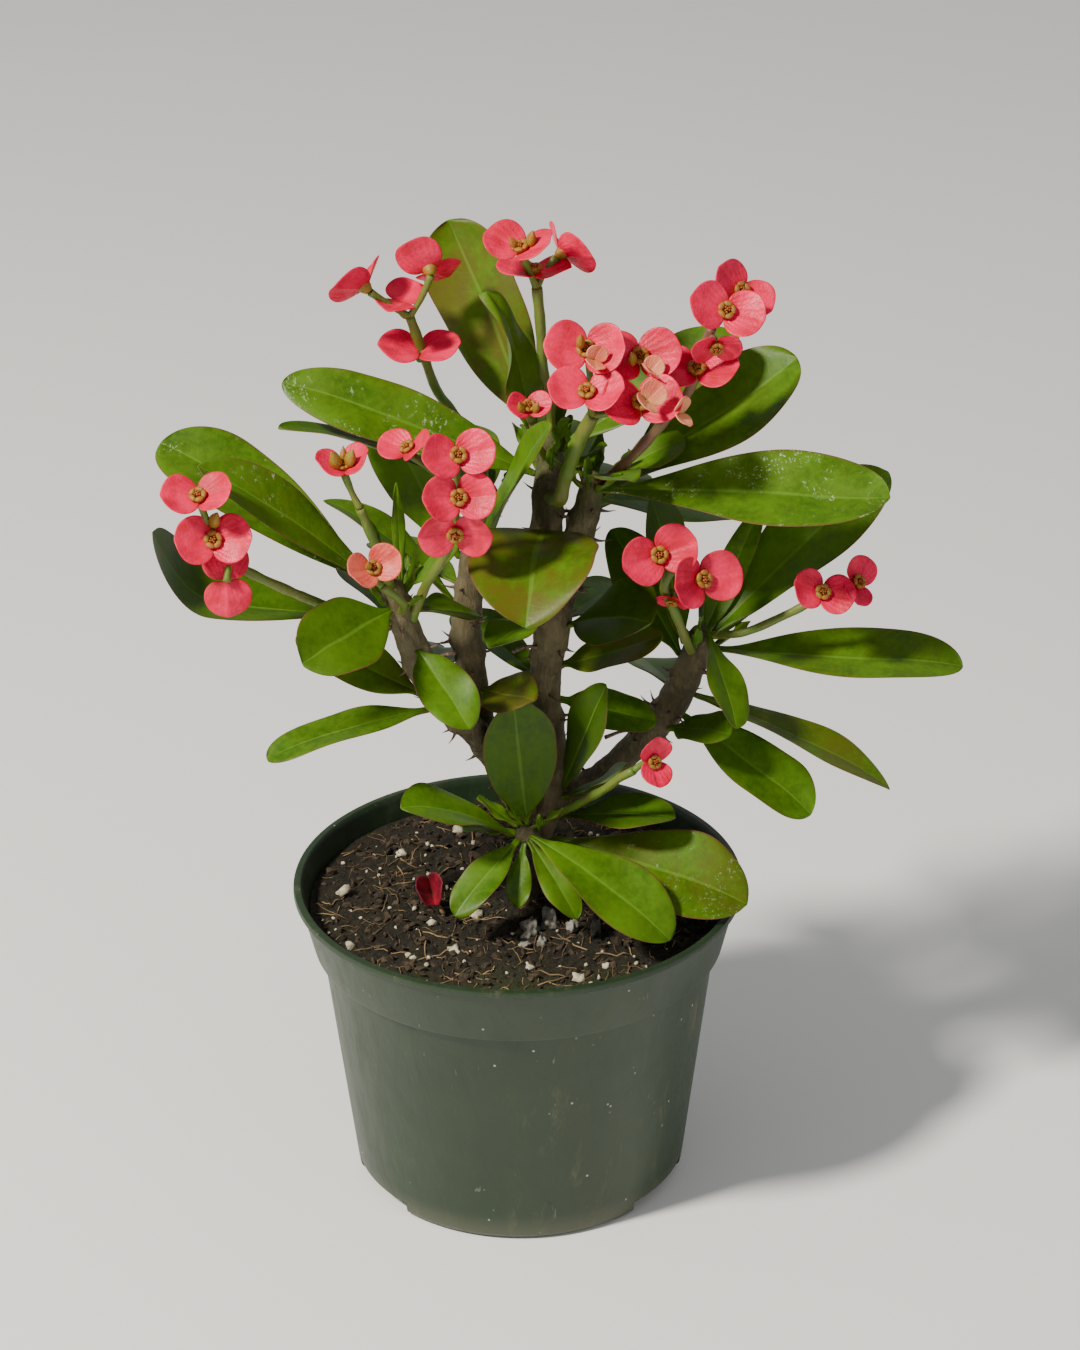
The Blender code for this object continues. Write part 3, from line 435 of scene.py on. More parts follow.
def add_node(tree, kind, inputs=None, **settings):
    """A node with its settings; an input takes a value or another node's socket."""
    node = tree.nodes.new(kind)
    for key, value in settings.items():
        setattr(node, key, value)
    for key, value in (inputs or {}).items():
        if is_socket(value):
            tree.links.new(value, node.inputs[key])
        else:
            node.inputs[key].default_value = value
    return node


def coordinates(tree, kind="Object"):
    return add_node(tree, "ShaderNodeTexCoord").outputs[kind]


def noise_of(place, scale, detail=4.0, roughness=0.6, distortion=0.0):
    """A noise value between 0 and 1."""
    node = add_node(
        place.id_data,
        "ShaderNodeTexNoise",
        {
            "Vector": place,
            "Scale": scale,
            "Detail": detail,
            "Roughness": roughness,
            "Distortion": distortion,
        },
    )
    return node.outputs["Fac"]


def stretched(place, scale):
    """The place, scaled differently along each axis."""
    node = add_node(place.id_data, "ShaderNodeMapping", {"Vector": place, "Scale": scale})
    return node.outputs["Vector"]


def between(value, low, high, start=0.0, end=1.0):
    """The value's place between low and high, smoothed, from start to end."""
    node = add_node(
        value.id_data,
        "ShaderNodeMapRange",
        {"Value": value, "From Min": low, "From Max": high, "To Min": start, "To Max": end},
        interpolation_type="SMOOTHSTEP",
    )
    return node.outputs["Result"]


def is_socket(value):
    return isinstance(value, bpy.types.NodeSocket)


def math_of(operation, first, second=0.0):
    tree = (first if is_socket(first) else second).id_data
    node = add_node(tree, "ShaderNodeMath", {0: first, 1: second}, operation=operation)
    return node.outputs[0]


def times(first, second):
    return math_of("MULTIPLY", first, second)


def plus(first, second):
    return math_of("ADD", first, second)


def minus(first, second):
    return math_of("SUBTRACT", first, second)


def blend_colors(share, first, second):
    """One colour over another; each is a tuple or a socket."""
    tree = next(value for value in (share, first, second) if is_socket(value)).id_data
    node = add_node(tree, "ShaderNodeMix", data_type="RGBA", blend_type="MIX")
    for name, value in (("Factor_Float", share), ("A_Color", first), ("B_Color", second)):
        socket = next(s for s in node.inputs if s.identifier == name)
        if is_socket(value):
            tree.links.new(value, socket)
        elif name == "Factor_Float":
            socket.default_value = value
        else:
            socket.default_value = (*value, 1.0)
    return next(s for s in node.outputs if s.identifier == "Result_Color")


def finish_material(color, roughness, height=None, depth=0.0002, **values):
    """Joins the colour, roughness and bump to the shader and sets its plain values."""
    tree = color.id_data
    shader = tree.nodes["Principled BSDF"]
    tree.links.new(color, shader.inputs["Base Color"])
    if is_socket(roughness):
        tree.links.new(roughness, shader.inputs["Roughness"])
    else:
        shader.inputs["Roughness"].default_value = roughness
    if height is not None:
        bump = add_node(tree, "ShaderNodeBump", {"Height": height, "Strength": 1.0, "Distance": depth})
        tree.links.new(bump.outputs["Normal"], shader.inputs["Normal"])
    for key, value in values.items():
        shader.inputs[key.replace("_", " ")].default_value = value


def leaf_material():
    """Fleshy green leaf. UV: across in U, along in V.

    The attribute look holds the shares of olive, painted shade and scratched; face is 1 on the
    underside.
    """
    material, tree = new_material("euphorbia_leaf")
    uv = add_node(tree, "ShaderNodeSeparateXYZ", {0: coordinates(tree, "UV")})
    across = math_of("ABSOLUTE", minus(uv.outputs["X"], 0.5))
    across = times(across, 2.0)
    along = uv.outputs["Y"]
    place = coordinates(tree)
    look = add_node(tree, "ShaderNodeAttribute", attribute_name="look")
    shares = add_node(tree, "ShaderNodeSeparateColor", {"Color": look.outputs["Color"]})
    olive, dark, scratch = (shares.outputs[key] for key in ("Red", "Green", "Blue"))
    underside = add_node(tree, "ShaderNodeAttribute", attribute_name="face").outputs["Fac"]

    cells = noise_of(place, 420, detail=3)
    patches = noise_of(place, 55, detail=5, roughness=0.65)
    color = blend_colors(between(patches, 0.3, 0.7), (0.030, 0.090, 0.0008), (0.076, 0.180, 0.001))
    color = blend_colors(between(cells, 0.35, 0.7, 0.0, 0.35), color, (0.105, 0.225, 0.002))

    olive_patch = between(noise_of(place, 75, detail=6, roughness=0.7), 0.38, 0.6)
    olive_share = times(olive, plus(olive_patch, 0.25))
    color = blend_colors(olive_share, color, (0.092, 0.088, 0.006))
    rust = between(noise_of(place, 160, detail=5, roughness=0.75), 0.52, 0.68)
    rust = times(rust, times(olive, 0.4))
    color = blend_colors(rust, color, (0.085, 0.040, 0.014))
    # Painted shade: a darker green that stands in for the shade on leaves deep in the crown or turned
    # away
    color = blend_colors(dark, color, (0.024, 0.056, 0.001))

    wobble = times(noise_of(place, 180), 0.35)
    slant = minus(times(along, 11.0), across)
    wave = math_of("FRACT", plus(slant, wobble))
    vein = between(math_of("ABSOLUTE", minus(wave, 0.5)), 0.07, 0.0)
    vein_fade = between(across, 0.95, 0.1)
    vein = times(vein, vein_fade)
    rib_width = plus(times(along, -0.06), 0.095)
    rib = between(math_of("DIVIDE", across, rib_width), 1.0, 0.35)
    color = blend_colors(times(vein, 0.07), color, (0.10, 0.25, 0.02))
    color = blend_colors(times(rib, 0.30), color, (0.17, 0.33, 0.04))

    ragged = plus(across, times(cells, 0.05))
    margin = between(ragged, 0.95, 1.0)
    color = blend_colors(times(margin, 0.75), color, (0.13, 0.045, 0.02))

    lines = noise_of(stretched(place, (900.0, 900.0, 350.0)), 1.0, 5, 0.7, 0.6)
    marked = between(noise_of(place, 70, detail=3), 0.5, 0.62)
    flecks = times(between(lines, 0.56, 0.64), marked)
    flecks = times(flecks, scratch)
    color = blend_colors(flecks, color, (0.42, 0.50, 0.30))
    pale = blend_colors(0.55, color, (0.075, 0.16, 0.02))
    color = blend_colors(underside, color, pale)

    height = plus(times(cells, 0.25), times(vein, -0.05))
    height = plus(height, times(patches, 0.8))
    roughness = between(patches, 0.3, 0.7, 0.36, 0.52)
    finish_material(
        color, roughness, height, 0.00035,
        Subsurface_Weight=0.05, Subsurface_Scale=0.001, Specular_IOR_Level=0.22,
    )
    return material


def bract_material(name, light, deep, center):
    """Soft petal-like bract. UV: across in U, from its root in V."""
    material, tree = new_material(name)
    uv = add_node(tree, "ShaderNodeSeparateXYZ", {0: coordinates(tree, "UV")})
    place = coordinates(tree)
    across = minus(uv.outputs["X"], 0.5)
    fan = math_of("ARCTAN2", across, plus(uv.outputs["Y"], 0.25))
    cloud = noise_of(place, 120, detail=4)
    fine = noise_of(place, 1200, detail=2)
    ray = math_of("SINE", plus(times(fan, 46.0), cloud))
    color = blend_colors(between(cloud, 0.35, 0.68), light, deep)
    color = blend_colors(between(ray, 0.2, 1.0, 0.0, 0.10), color, deep)
    color = blend_colors(between(uv.outputs["Y"], 0.34, 0.02, 0.0, 0.75), color, center)
    color = blend_colors(between(fine, 0.55, 0.75, 0.0, 0.25), color, light)
    height = plus(times(ray, 0.12), fine)
    finish_material(
        color, between(cloud, 0.3, 0.7, 0.36, 0.5), height, 0.0002,
        Subsurface_Weight=0.08, Subsurface_Scale=0.001, Specular_IOR_Level=0.3,
    )
    return material


def cup_material():
    """Yellow-green cup with an orange-brown mouth. UV V: height on the cup."""
    material, tree = new_material("flower_cup")
    uv = add_node(tree, "ShaderNodeSeparateXYZ", {0: coordinates(tree, "UV")})
    place = coordinates(tree)
    cloud = noise_of(place, 500, detail=4)
    color = blend_colors(between(cloud, 0.35, 0.65), (0.22, 0.20, 0.012), (0.34, 0.12, 0.010))
    color = blend_colors(between(uv.outputs["Y"], 0.55, 1.0), color, (0.34, 0.075, 0.008))
    fine = noise_of(place, 1600, detail=3)
    color = blend_colors(between(fine, 0.5, 0.7, 0.0, 0.5), color, (0.44, 0.22, 0.02))
    finish_material(color, 0.42, fine, 0.0003, Subsurface_Weight=0.1, Subsurface_Scale=0.001)
    return material


def stalk_material(name, first, second):
    material, tree = new_material(name)
    place = coordinates(tree)
    cloud = noise_of(place, 90, detail=5)
    grain = noise_of(stretched(place, (1.0, 1.0, 0.25)), 900, detail=3)
    color = blend_colors(between(cloud, 0.35, 0.65), first, second)
    color = blend_colors(between(grain, 0.5, 0.75, 0.0, 0.25), color, (0.20, 0.20, 0.05))
    finish_material(color, between(grain, 0.3, 0.7, 0.4, 0.6), grain, 0.0003)
    return material


def bark_material():
    material, tree = new_material("bark")
    place = coordinates(tree)
    cloud = noise_of(place, 60, detail=6, roughness=0.7)
    grain = noise_of(stretched(place, (1.0, 1.0, 0.3)), 520, detail=6, roughness=0.7)
    color = blend_colors(between(cloud, 0.35, 0.65), (0.045, 0.034, 0.012), (0.125, 0.100, 0.042))
    color = blend_colors(between(grain, 0.45, 0.7, 0.0, 0.6), color, (0.20, 0.155, 0.085))
    age = add_node(tree, "ShaderNodeSeparateXYZ", {0: place})
    young = between(age.outputs["Z"], 0.225, 0.275)
    green = between(noise_of(place, 110), 0.3, 0.6)
    color = blend_colors(times(young, times(green, 0.6)), color, (0.06, 0.085, 0.010))
    height = plus(grain, times(cloud, 0.6))
    finish_material(color, between(grain, 0.3, 0.7, 0.6, 0.85), height, 0.0012)
    return material


def spine_material():
    material, tree = new_material("spines")
    place = coordinates(tree)
    grain = noise_of(place, 700, detail=4)
    color = blend_colors(between(grain, 0.35, 0.7), (0.045, 0.02, 0.012), (0.20, 0.13, 0.08))
    finish_material(color, 0.5, grain, 0.0003)
    return material


def pot_material():
    """Moulded green plastic with flow marks, scuffs and specks of dust and dried soil."""
    material, tree = new_material("pot_plastic")
    place = coordinates(tree)
    cloud = noise_of(place, 14, detail=5)
    flow = noise_of(stretched(place, (1.0, 1.0, 0.5)), 60, detail=4, distortion=0.8)
    color = blend_colors(between(cloud, 0.3, 0.7), (0.010, 0.025, 0.008), (0.015, 0.033, 0.010))
    color = blend_colors(between(flow, 0.5, 0.75, 0.0, 0.25), color, (0.022, 0.042, 0.014))
    height_on_pot = add_node(tree, "ShaderNodeSeparateXYZ", {0: place}).outputs["Z"]
    smear = noise_of(stretched(place, (1.0, 1.0, 0.35)), 120, detail=6, roughness=0.75)
    dust = times(between(smear, 0.5, 0.8), between(cloud, 0.4, 0.65))
    color = blend_colors(times(dust, 0.5), color, (0.24, 0.22, 0.15))
    specks = add_node(tree, "ShaderNodeTexVoronoi", {"Vector": place, "Scale": 260.0})
    speck = between(specks.outputs["Distance"], 0.16, 0.08)
    where = between(noise_of(place, 70, detail=2), 0.58, 0.66)
    speck = times(speck, where)
    color = blend_colors(speck, color, (0.40, 0.38, 0.30))
    dirt = add_node(tree, "ShaderNodeTexVoronoi", {"Vector": place, "Scale": 190.0})
    dirt_speck = between(dirt.outputs["Distance"], 0.2, 0.1)
    dirt_speck = times(dirt_speck, between(noise_of(place, 45, detail=2), 0.6, 0.66))
    color = blend_colors(dirt_speck, color, (0.02, 0.014, 0.008))
    scratch = noise_of(stretched(place, (1.0, 1.0, 0.12)), 380, detail=2, distortion=1.2)
    scratch = between(scratch, 0.72, 0.76, 0.0, 0.35)
    color = blend_colors(scratch, color, (0.20, 0.24, 0.17))
    foot = between(height_on_pot, 0.012, 0.0, 0.0, 0.35)
    color = blend_colors(foot, color, (0.16, 0.15, 0.10))
    roughness = between(plus(smear, dust), 0.3, 1.1, 0.42, 0.68)
    height = plus(times(smear, 0.4), flow)
    finish_material(color, roughness, height, 0.0004)
    return material


def soil_material():
    material, tree = new_material("peat_soil")
    place = coordinates(tree)
    cloud = noise_of(place, 40, detail=6, roughness=0.7)
    crumb = noise_of(place, 330, detail=8, roughness=0.8)
    color = blend_colors(between(crumb, 0.35, 0.7), (0.004, 0.003, 0.001), (0.056, 0.042, 0.012))
    color = blend_colors(between(cloud, 0.4, 0.65, 0.0, 0.5), color, (0.018, 0.012, 0.003))
    bits = add_node(tree, "ShaderNodeTexVoronoi", {"Vector": place, "Scale": 420.0})
    bit = between(bits.outputs["Distance"], 0.2, 0.1)
    color = blend_colors(times(bit, 0.4), color, (0.20, 0.13, 0.045))
    parts = add_node(tree, "ShaderNodeSeparateXYZ", {0: place})
    front = between(parts.outputs["Y"], -0.035, -0.06)
    moss = times(front, between(cloud, 0.42, 0.6))
    color = blend_colors(times(moss, 0.8), color, (0.040, 0.052, 0.010))
    height = plus(crumb, bit)
    finish_material(color, between(crumb, 0.3, 0.7, 0.75, 0.95), height, 0.0035)
    return material


def grain_material(name, first, second, scale, roughness=0.85):
    """A plain mineral or plant crumb of two mottled colours."""
    material, tree = new_material(name)
    place = coordinates(tree)
    cloud = noise_of(place, scale, detail=5, roughness=0.7)
    color = blend_colors(between(cloud, 0.35, 0.65), first, second)
    finish_material(color, roughness, cloud, 0.0008)
    return material


# Curves and sheets


def smooth_path(points, spacing):
    """Points about this far apart on a smooth curve through the given (x, y, z, radius) points."""
    first = points[0] * 2 - points[1]
    last = points[-1] * 2 - points[-2]
    path = [first, *points, last]
    found = []
    for before, start, end, after in zip(path, path[1:], path[2:], path[3:]):
        count = max(1, round((end - start).xyz.length / spacing))
        for step in range(count):
            t = step / count
            found.append(
                0.5
                * (
                    2 * start
                    + (end - before) * t
                    + (2 * before - 5 * start + 4 * end - after) * t * t
                    + (3 * start - before - 3 * end + after) * t * t * t
                )
            )
    found.append(points[-1].copy())
    return found


def plant_point(point):
    x, y, height = point
    return Vector((x, y, SOIL_TOP + height))


def branch_path(branch, spacing=0.0012):
    points = [Vector((*plant_point(place), radius)) for place, radius in BRANCHES[branch]]
    return smooth_path(points, spacing)


def place_on_branch(branch, along):
    """Centre, direction and radius of the branch at this share of its length."""
    path = branch_path(branch)
    runs = [(b - a).xyz.length for a, b in zip(path, path[1:])]
    target = along * sum(runs)
    for start, end, run in zip(path, path[1:], runs):
        if target <= run:
            break
        target -= run
    spot = start.lerp(end, min(target / run, 1.0))
    return spot.xyz, (end - start).xyz.normalized(), spot.w


def direction_of(azimuth, elevation):
    azimuth = math.radians(azimuth)
    elevation = math.radians(elevation)
    flat = math.cos(elevation)
    return Vector((flat * math.cos(azimuth), flat * math.sin(azimuth), math.sin(elevation)))


def frame_along(forward, roll):
    """The sideways and upward directions of a blade that points forward, after its roll."""
    side = Z_AXIS.cross(forward).normalized()
    side = Matrix.Rotation(math.radians(roll), 3, forward) @ side
    return side, forward.cross(side)


def new_object(name, data):
    made = bpy.data.objects.new(name, data)
    bpy.context.scene.collection.objects.link(made)
    return made


def mesh_of(name, shape):
    """The shape as a mesh; the shape is used up."""
    mesh = bpy.data.meshes.new(name)
    shape.to_mesh(mesh)
    shape.free()
    return mesh


def add_piece(name, shape, material, replaced=None, smooth=True):
    """A finished mesh piece that rides on the plant's body."""
    mesh = mesh_of(name, shape)
    if smooth:
        mesh.shade_smooth()
    mesh.materials.append(material)
    piece = new_object(name, mesh)
    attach(piece, BODY)
    if replaced:
        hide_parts(replaced)
    return piece


def subdivide(piece, levels):
    modifier = piece.modifiers.new("smooth", "SUBSURF")
    modifier.levels = levels
    modifier.render_levels = levels


def join_rings(shape, rings):
    """Quads between each ring of corners and the next."""
    for start, end in zip(rings, rings[1:]):
        for side in range(len(start)):
            following = (side + 1) % len(start)
            shape.faces.new((start[side], start[following], end[following], end[side]))


def sweep(shape, path, sides, reshape=None):
    """Adds a closed tube along (x, y, z, radius) points; reshape changes a radius by row and angle."""
    rings = []
    reference = Vector((0.3, 1.0, 0.2))
    for number, spot in enumerate(path):
        ahead = path[min(number + 1, len(path) - 1)].xyz
        behind = path[max(number - 1, 0)].xyz
        direction = (ahead - behind).normalized()
        first = (reference - direction * reference.dot(direction)).normalized()
        reference = first
        second = direction.cross(first)
        ring = []
        for side in range(sides):
            angle = math.tau * side / sides
            outward = first * math.cos(angle) + second * math.sin(angle)
            radius = spot.w if reshape is None else reshape(spot, outward, number)
            ring.append(shape.verts.new(spot.xyz + outward * radius))
        rings.append(ring)
    join_rings(shape, rings)
    shape.faces.new(list(reversed(rings[0])))
    shape.faces.new(rings[-1])


def turned(profile, steps):
    """A surface turned about Z from a (radius, height) outline that starts and ends on the axis."""
    shape = bmesh.new()
    spots = [shape.verts.new((radius, 0, height)) for radius, height in profile]
    edges = [shape.edges.new(pair) for pair in zip(spots, spots[1:])]
    bmesh.ops.spin(
        shape, geom=spots + edges, cent=(0, 0, 0), axis=Z_AXIS, angle=math.tau, steps=steps
    )
    bmesh.ops.remove_doubles(shape, verts=shape.verts, dist=0.00001)
    bmesh.ops.recalc_face_normals(shape, faces=shape.faces)
    return shape


# Leaves

LEAF_ROWS = 26
LEAF_COLUMNS = (-1, -0.96, -0.85, -0.66, -0.42, -0.18, -0.05, 0, 0.05, 0.18, 0.42, 0.66, 0.85, 0.96, 1)
LEAF_THICKNESS = 0.0010
PETIOLE_ROOT = 0.0030
RIB_GROOVE = 0.00018
RIB_RIDGE = 0.00045


def blade_half_width(t, width, broadest):
    """Half the blade's width at this share of its length."""
    t = min(max(t, 0.0), 1.0)
    rise = LEAF_TIP_ROUNDNESS * broadest / (1 - broadest)
    peak = broadest**rise * (1 - broadest) ** LEAF_TIP_ROUNDNESS
    least = min(PETIOLE_HALF_WIDTH, width / 5) if t < broadest else TIP_HALF_WIDTH
    return max(least, width / 2 * t**rise * (1 - t) ** LEAF_TIP_ROUNDNESS / peak)


def arch(t, bend):
    """How far along and above its chord a blade that bends evenly is, for a chord of 1."""
    turn = math.radians(bend)
    if abs(turn) < 0.01:
        return t, 0.0
    chord = 2 * math.sin(turn / 2)
    along = (math.sin(turn / 2) - math.sin(turn * (0.5 - t))) / chord
    above = (math.cos(turn * (0.5 - t)) - math.cos(turn / 2)) / chord
    return along, above


def blade_point(row, look, base, axes, t, s, seed):
    """A point of the blade's middle surface and its upward direction there."""
    length, width, _, bend, broadest = row[5:]
    forward, side, up = axes
    ahead, above = arch(t, bend)
    turn = Matrix.Rotation(math.radians(look["twist"] * (t - 0.4)), 3, forward)
    side, up = turn @ side, turn @ up
    half = blade_half_width(t, width, broadest)
    half *= 1 + 0.06 * noise.noise(Vector((4 * t, 2 * math.copysign(1, s), seed)))
    fold = LEAF_FOLD + 7 * noise.noise(Vector((seed, 1.5 * t, math.copysign(2, s))))
    lift = half * math.tan(math.radians(fold)) * abs(s) ** 1.25
    wave = look["wave"] * abs(s) ** 2.5 * math.sin(9 * t + 2 * s + seed) * min(1, 4 * t)
    curl = max(0.0, (t - 0.72) / 0.28) ** 2 * math.tan(math.radians(look["curl"])) * length * 0.16
    point = base + (forward * ahead + up * above) * length
    wander = noise.noise(Vector((3 * t + seed, 0.5 * s, seed))) * width * 0.04
    return point + side * (half * s + wander * t) + up * (lift + wave - curl), up


def add_leaf(row, material, replaced=None):
    """One leaf as a closed, lens-edged blade with a grooved midrib."""
    name, branch, along, azimuth, rise, length, width, roll, bend, broadest = row
    look = {**PLAIN_LEAF, **LEAF_LOOKS.get(name, {})}
    seed = sum(map(ord, name)) % 97 / 7
    forward = direction_of(azimuth, rise)
    side, up = frame_along(forward, roll)
    centre, tangent, radius = place_on_branch(branch, along)
    outward = (forward - tangent * forward.dot(tangent)).normalized()
    base = centre + outward * (radius + ATTACH_GAP)
    shape = bmesh.new()
    uv = shape.loops.layers.uv.new("blade")
    tops, bottoms = [], []
    places = {}
    first = -PETIOLE_ROOT / length
    for number in range(LEAF_ROWS + 1):
        share = number / LEAF_ROWS
        t = first + (1 - first) * (1 - (1 - share) ** 1.35)
        stalk = math.exp(-max(t, 0) / 0.07)
        top, bottom = [], []
        for s in LEAF_COLUMNS:
            point, local_up = blade_point(row, look, base, (forward, side, up), t, s, seed)
            edge = math.sqrt(max(0.0, 1 - s**4))
            thick = LEAF_THICKNESS / 2 * edge * (1 + 0.7 * stalk) * (1 - 0.5 * max(t, 0) ** 4)
            rib = math.exp(-((s * 14) ** 2)) * (1 - max(t, 0)) ** 0.5
            upper = shape.verts.new(point + local_up * (thick - RIB_GROOVE * rib))
            places[upper] = (s / 2 + 0.5, max(t, 0), 0.0)
            top.append(upper)
            if abs(s) == 1:
                bottom.append(upper)
                continue
            lower = shape.verts.new(point - local_up * (thick + RIB_RIDGE * rib))
            places[lower] = (s / 2 + 0.5, max(t, 0), 1.0)
            bottom.append(lower)
        tops.append(top)
        bottoms.append(bottom)
    for start, end in zip(tops, tops[1:]):
        for c in range(len(LEAF_COLUMNS) - 1):
            shape.faces.new((start[c], end[c], end[c + 1], start[c + 1]))
    for start, end in zip(bottoms, bottoms[1:]):
        for c in range(len(LEAF_COLUMNS) - 1):
            shape.faces.new((start[c + 1], end[c + 1], end[c], start[c]))
    shape.faces.new([*tops[0], *bottoms[0][-2:0:-1]])
    shape.faces.new([*reversed(tops[-1]), *bottoms[-1][1:-1]])
    bmesh.ops.recalc_face_normals(shape, faces=shape.faces)
    for face in shape.faces:
        for loop in face.loops:
            loop[uv].uv = places[loop.vert][:2]
    shape.verts.index_update()
    undersides = [places[spot][2] for spot in shape.verts]
    piece = add_piece(f"{name}_blade", shape, material, replaced)
    mesh = piece.data
    mesh.attributes.new("look", "FLOAT_COLOR", "POINT")
    mesh.attributes.new("face", "FLOAT", "POINT")
    # The second share is painted shade, a darker green for leaves that sit in shade
    tone = (look["olive"], look["dark"], look["scratch"], 1.0)
    mesh.attributes["look"].data.foreach_set("color", tone * len(undersides))
    mesh.attributes["face"].data.foreach_set("value", undersides)
    subdivide(piece, 1)


# Flowers

BRACT_RINGS = 7
BRACT_STEPS = 28
BRACT_THICKNESS = 0.0005
CUP_PROFILE = (
    (0.0, -0.0026), (0.0011, -0.0026), (0.0017, -0.0018), (0.0023, -0.0006), (0.0026, 0.0008),
    (0.0027, 0.0018), (0.0023, 0.0022), (0.0015, 0.0018), (0.0008, 0.0012), (0.0, 0.0010),
)
CUP_HEIGHT = 0.0048
CUP_SIDES = 15
LEAST_CUP_RADIUS = 0.00005
GLAND_COUNT = 5
ANTHER_COUNT = 7
ANTHER_TURN = 2.4
BUD_SIDES = 12
# A bud's outline: share along it and radius as a share of its length
BUD_PROFILE = (
    (0.0, 0.12), (0.12, 0.22), (0.35, 0.30), (0.6, 0.26), (0.82, 0.14), (0.96, 0.05), (1.0, 0.004),
)
# The head that a cup of size 1 belongs to has bracts of this radius
USUAL_BRACT_RADIUS = 0.0075


def head_frame(point, azimuth, elevation, spin):
    """The head's frame: Z is where it faces, X is the line through its two bracts."""
    facing = direction_of(azimuth, elevation)
    pair, _ = frame_along(facing, spin)
    turn = Matrix((pair, facing.cross(pair), facing)).transposed().to_4x4()
    return Matrix.Translation(plant_point(point)) @ turn


def add_uv_face(shape, uv, corners):
    """A face of (point, UV place) corners."""
    face = shape.faces.new([spot for spot, _ in corners])
    for loop, (_, place) in zip(face.loops, corners):
        loop[uv].uv = place


def join_uv_rings(shape, uv, rings):
    """As join_rings, for rings of (point, UV place) corners."""
    for start, end in zip(rings, rings[1:]):
        for side in range(len(start)):
            following = (side + 1) % len(start)
            add_uv_face(shape, uv, (start[side], start[following], end[following], end[side]))


def add_bract(shape, uv, matrix, radius, seed):
    """One kidney-shaped bract, notched at its root and drawn to a small point at its tip."""
    rings = []
    centre = None
    for ring in range(BRACT_RINGS + 1):
        reach = ring / BRACT_RINGS
        spots = []
        for step in range(BRACT_STEPS if ring else 1):
            angle = math.tau * step / BRACT_STEPS
            off_root = abs((angle % math.tau) - math.pi)
            off_tip = min(angle, math.tau - angle)
            outline = 1 - 0.20 * math.exp(-((off_root / 0.42) ** 2))
            tip, shoulder = math.exp(-((off_tip / 0.16) ** 2)), math.exp(-((off_tip / 0.7) ** 2))
            outline += 0.05 * tip - 0.06 * shoulder
            outline += 0.03 * noise.noise(Vector((math.cos(angle), math.sin(angle), seed)))
            x = reach * radius * outline * math.cos(angle)
            y = reach * radius * outline * math.sin(angle) * 1.1
            cup = radius * reach**2 * (0.16 * abs(math.sin(angle)) + 0.03)
            ruffle = radius * reach**3 * 0.07 * math.sin(3 * angle + seed)
            fold = radius * 0.05 * math.exp(-((y / radius / 0.16) ** 2))
            spot = shape.verts.new(matrix @ Vector((x, y, cup + ruffle - fold)))
            spots.append((spot, (y / radius * 0.45 + 0.5, x / radius * 0.5 + 0.5)))
        rings.append(spots)
    for inner, outer in zip(rings, rings[1:]):
        for step in range(BRACT_STEPS):
            following = (step + 1) % BRACT_STEPS
            if len(inner) == 1:
                corners = (inner[0], outer[step], outer[following])
            else:
                corners = (inner[step], outer[step], outer[following], inner[following])
            add_uv_face(shape, uv, corners)


def add_bract_pair(shape, uv, matrix, radius, opening, seed):
    """A head's two bracts, each tilted up by its opening."""
    for hand in (-1, 1):
        tilt = Matrix.Rotation(math.radians(-hand * opening), 4, "Y")
        face_out = Matrix.Rotation(0 if hand > 0 else math.pi, 4, "Z")
        shift = Matrix.Translation((radius * (1 - BRACT_OVERLAP), 0, 0))
        add_bract(shape, uv, matrix @ tilt @ face_out @ shift, radius, seed + hand)


def thicken(piece):
    """Gives a piece of bracts its thickness and smooths it."""
    thickness = piece.modifiers.new("thickness", "SOLIDIFY")
    thickness.thickness = BRACT_THICKNESS
    thickness.offset = 0.0
    subdivide(piece, 1)


def add_ball(shape, uv, place, half_sizes, subdivisions, shade):
    """A small ellipsoid whose whole surface takes one V in the cup's material."""
    matrix = place @ Matrix.Diagonal((*half_sizes, 1))
    made = bmesh.ops.create_icosphere(shape, subdivisions=subdivisions, radius=1.0, matrix=matrix)
    for spot in made["verts"]:
        for loop in spot.link_loops:
            loop[uv].uv = (0.5, shade)


def add_cup(shape, uv, matrix, size, seed):
    """The cup of a head: a small urn, five swollen glands round its mouth and the anthers inside."""
    rings = []
    for radius, height in CUP_PROFILE:
        share = (height - CUP_PROFILE[0][1]) / CUP_HEIGHT
        ring = []
        for side in range(CUP_SIDES):
            angle = math.tau * side / CUP_SIDES
            reach = max(radius, LEAST_CUP_RADIUS) * size
            spot = Vector((reach * math.cos(angle), reach * math.sin(angle), height * size))
            ring.append((shape.verts.new(matrix @ spot), (side / CUP_SIDES, share)))
        rings.append(ring)
    join_uv_rings(shape, uv, rings)
    for gland in range(GLAND_COUNT):
        angle = math.tau * gland / GLAND_COUNT + seed
        turn = Matrix.Rotation(angle, 4, "Z")
        place = matrix @ turn @ Matrix.Translation((0.0021 * size, 0, 0.0019 * size))
        add_ball(shape, uv, place, (0.0010 * size, 0.0016 * size, 0.0007 * size), 2, 0.75)
    for bit in range(ANTHER_COUNT):
        angle = ANTHER_TURN * bit + seed
        reach = 0.0011 * size * math.sqrt(bit / ANTHER_COUNT)
        spot = (reach * math.cos(angle), reach * math.sin(angle), 0.0021 * size)
        half_sizes = (0.00045 * size, 0.00045 * size, 0.0011 * size)
        add_ball(shape, uv, matrix @ Matrix.Translation(spot), half_sizes, 1, 1.0)


